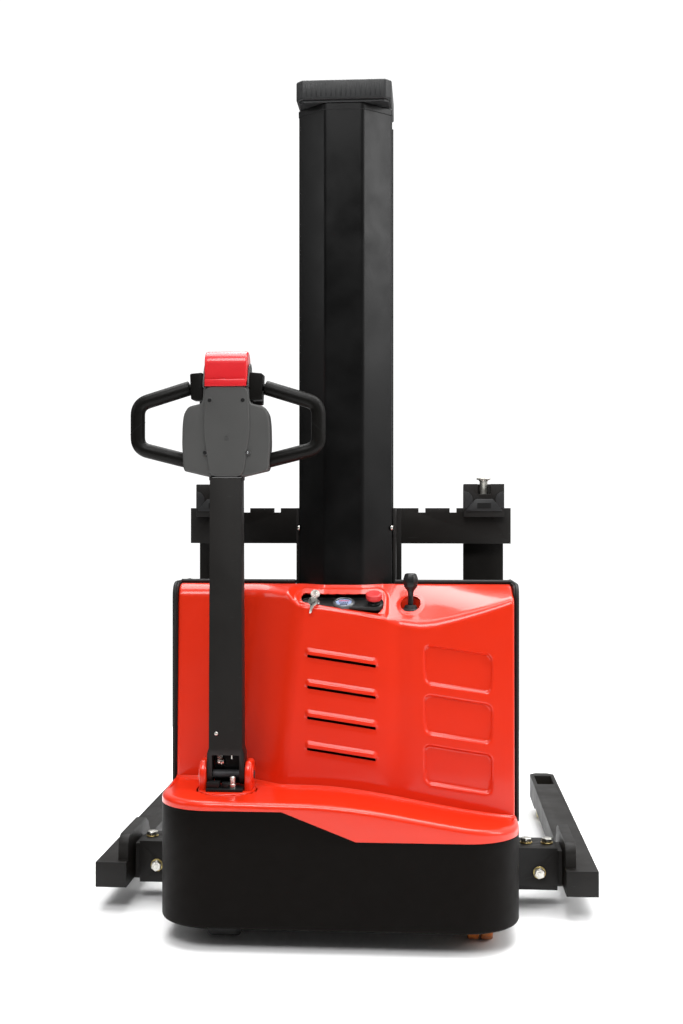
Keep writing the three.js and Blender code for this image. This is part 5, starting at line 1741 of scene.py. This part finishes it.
def softbox(name, place, target, width, height, power):
    light = bpy.data.lights.new(name, "AREA")
    light.shape = "RECTANGLE"
    light.size, light.size_y = width, height
    light.energy = power
    obj = bpy.data.objects.new(name, light)
    obj.location = place
    obj.rotation_euler = (Vector(target) - Vector(place)).to_track_quat("-Z", "Y").to_euler()
    bpy.context.scene.collection.objects.link(obj)


def world():
    """White behind the object for the camera, and a dimmer grey room for light and reflections."""
    made = bpy.data.worlds.new("studio")
    made.use_nodes = True
    nodes, links = made.node_tree.nodes, made.node_tree.links
    nodes.clear()
    path = nodes.new("ShaderNodeLightPath")
    room, seen = nodes.new("ShaderNodeBackground"), nodes.new("ShaderNodeBackground")
    direction = nodes.new("ShaderNodeTexCoord").outputs["Generated"]
    brightness = nodes.new("ShaderNodeVectorMath")
    brightness.operation = "DOT_PRODUCT"
    brightness.inputs[1].default_value = ROOM_BRIGHT_SIDE
    spread = nodes.new("ShaderNodeMapRange")
    for socket, value in zip(list(spread.inputs)[1:5], (-0.3, 1.0, *ROOM_LIGHT)):
        socket.default_value = value
    links.new(direction, brightness.inputs[0])
    links.new(brightness.outputs["Value"], spread.inputs["Value"])
    links.new(spread.outputs["Result"], room.inputs["Strength"])
    room.inputs["Color"].default_value = grey(1.0)
    seen.inputs["Color"].default_value = grey(1.0)
    seen.inputs["Strength"].default_value = SKY_STRENGTH
    mix, out = nodes.new("ShaderNodeMixShader"), nodes.new("ShaderNodeOutputWorld")
    links.new(path.outputs["Is Camera Ray"], mix.inputs["Fac"])
    links.new(room.outputs[0], mix.inputs[1])
    links.new(seen.outputs[0], mix.inputs[2])
    links.new(mix.outputs[0], out.inputs["Surface"])
    bpy.context.scene.world = made


def lights():
    middle = (0.0, 0.0, 0.9)
    softbox("top_light", (0.2, 0.3, 4.6), (0.0, 0.0, 0.3), 4.8, 4.0, 420)
    softbox("front_light", (-0.6, -4.4, 4.8), middle, 2.6, 1.8, 195)
    softbox("right_light", (4.5, -1.3, 3.3), (0.0, 0.0, 1.6), 1.6, 2.8, 112)
    softbox("left_light", (-4.6, -1.6, 3.0), middle, 2.0, 2.0, 30)


def camera():
    """At the height of the operator's chest, a little to the right and turned back to the left."""
    data = bpy.data.cameras.new("camera")
    data.sensor_width = SENSOR
    data.lens = FOCAL_LENGTH
    data.clip_start, data.clip_end = 0.05, 60.0
    obj = bpy.data.objects.new("camera", data)
    obj.location = (CAMERA_X, FRONT - CAMERA_DISTANCE, CAMERA_HEIGHT)
    obj.rotation_euler = (math.radians(CAMERA_PITCH), 0.0, math.radians(CAMERA_TURN))
    bpy.context.scene.collection.objects.link(obj)
    bpy.context.scene.camera = obj


floor()
world()
lights()
camera()
bpy.context.scene.view_settings.view_transform = "Standard"
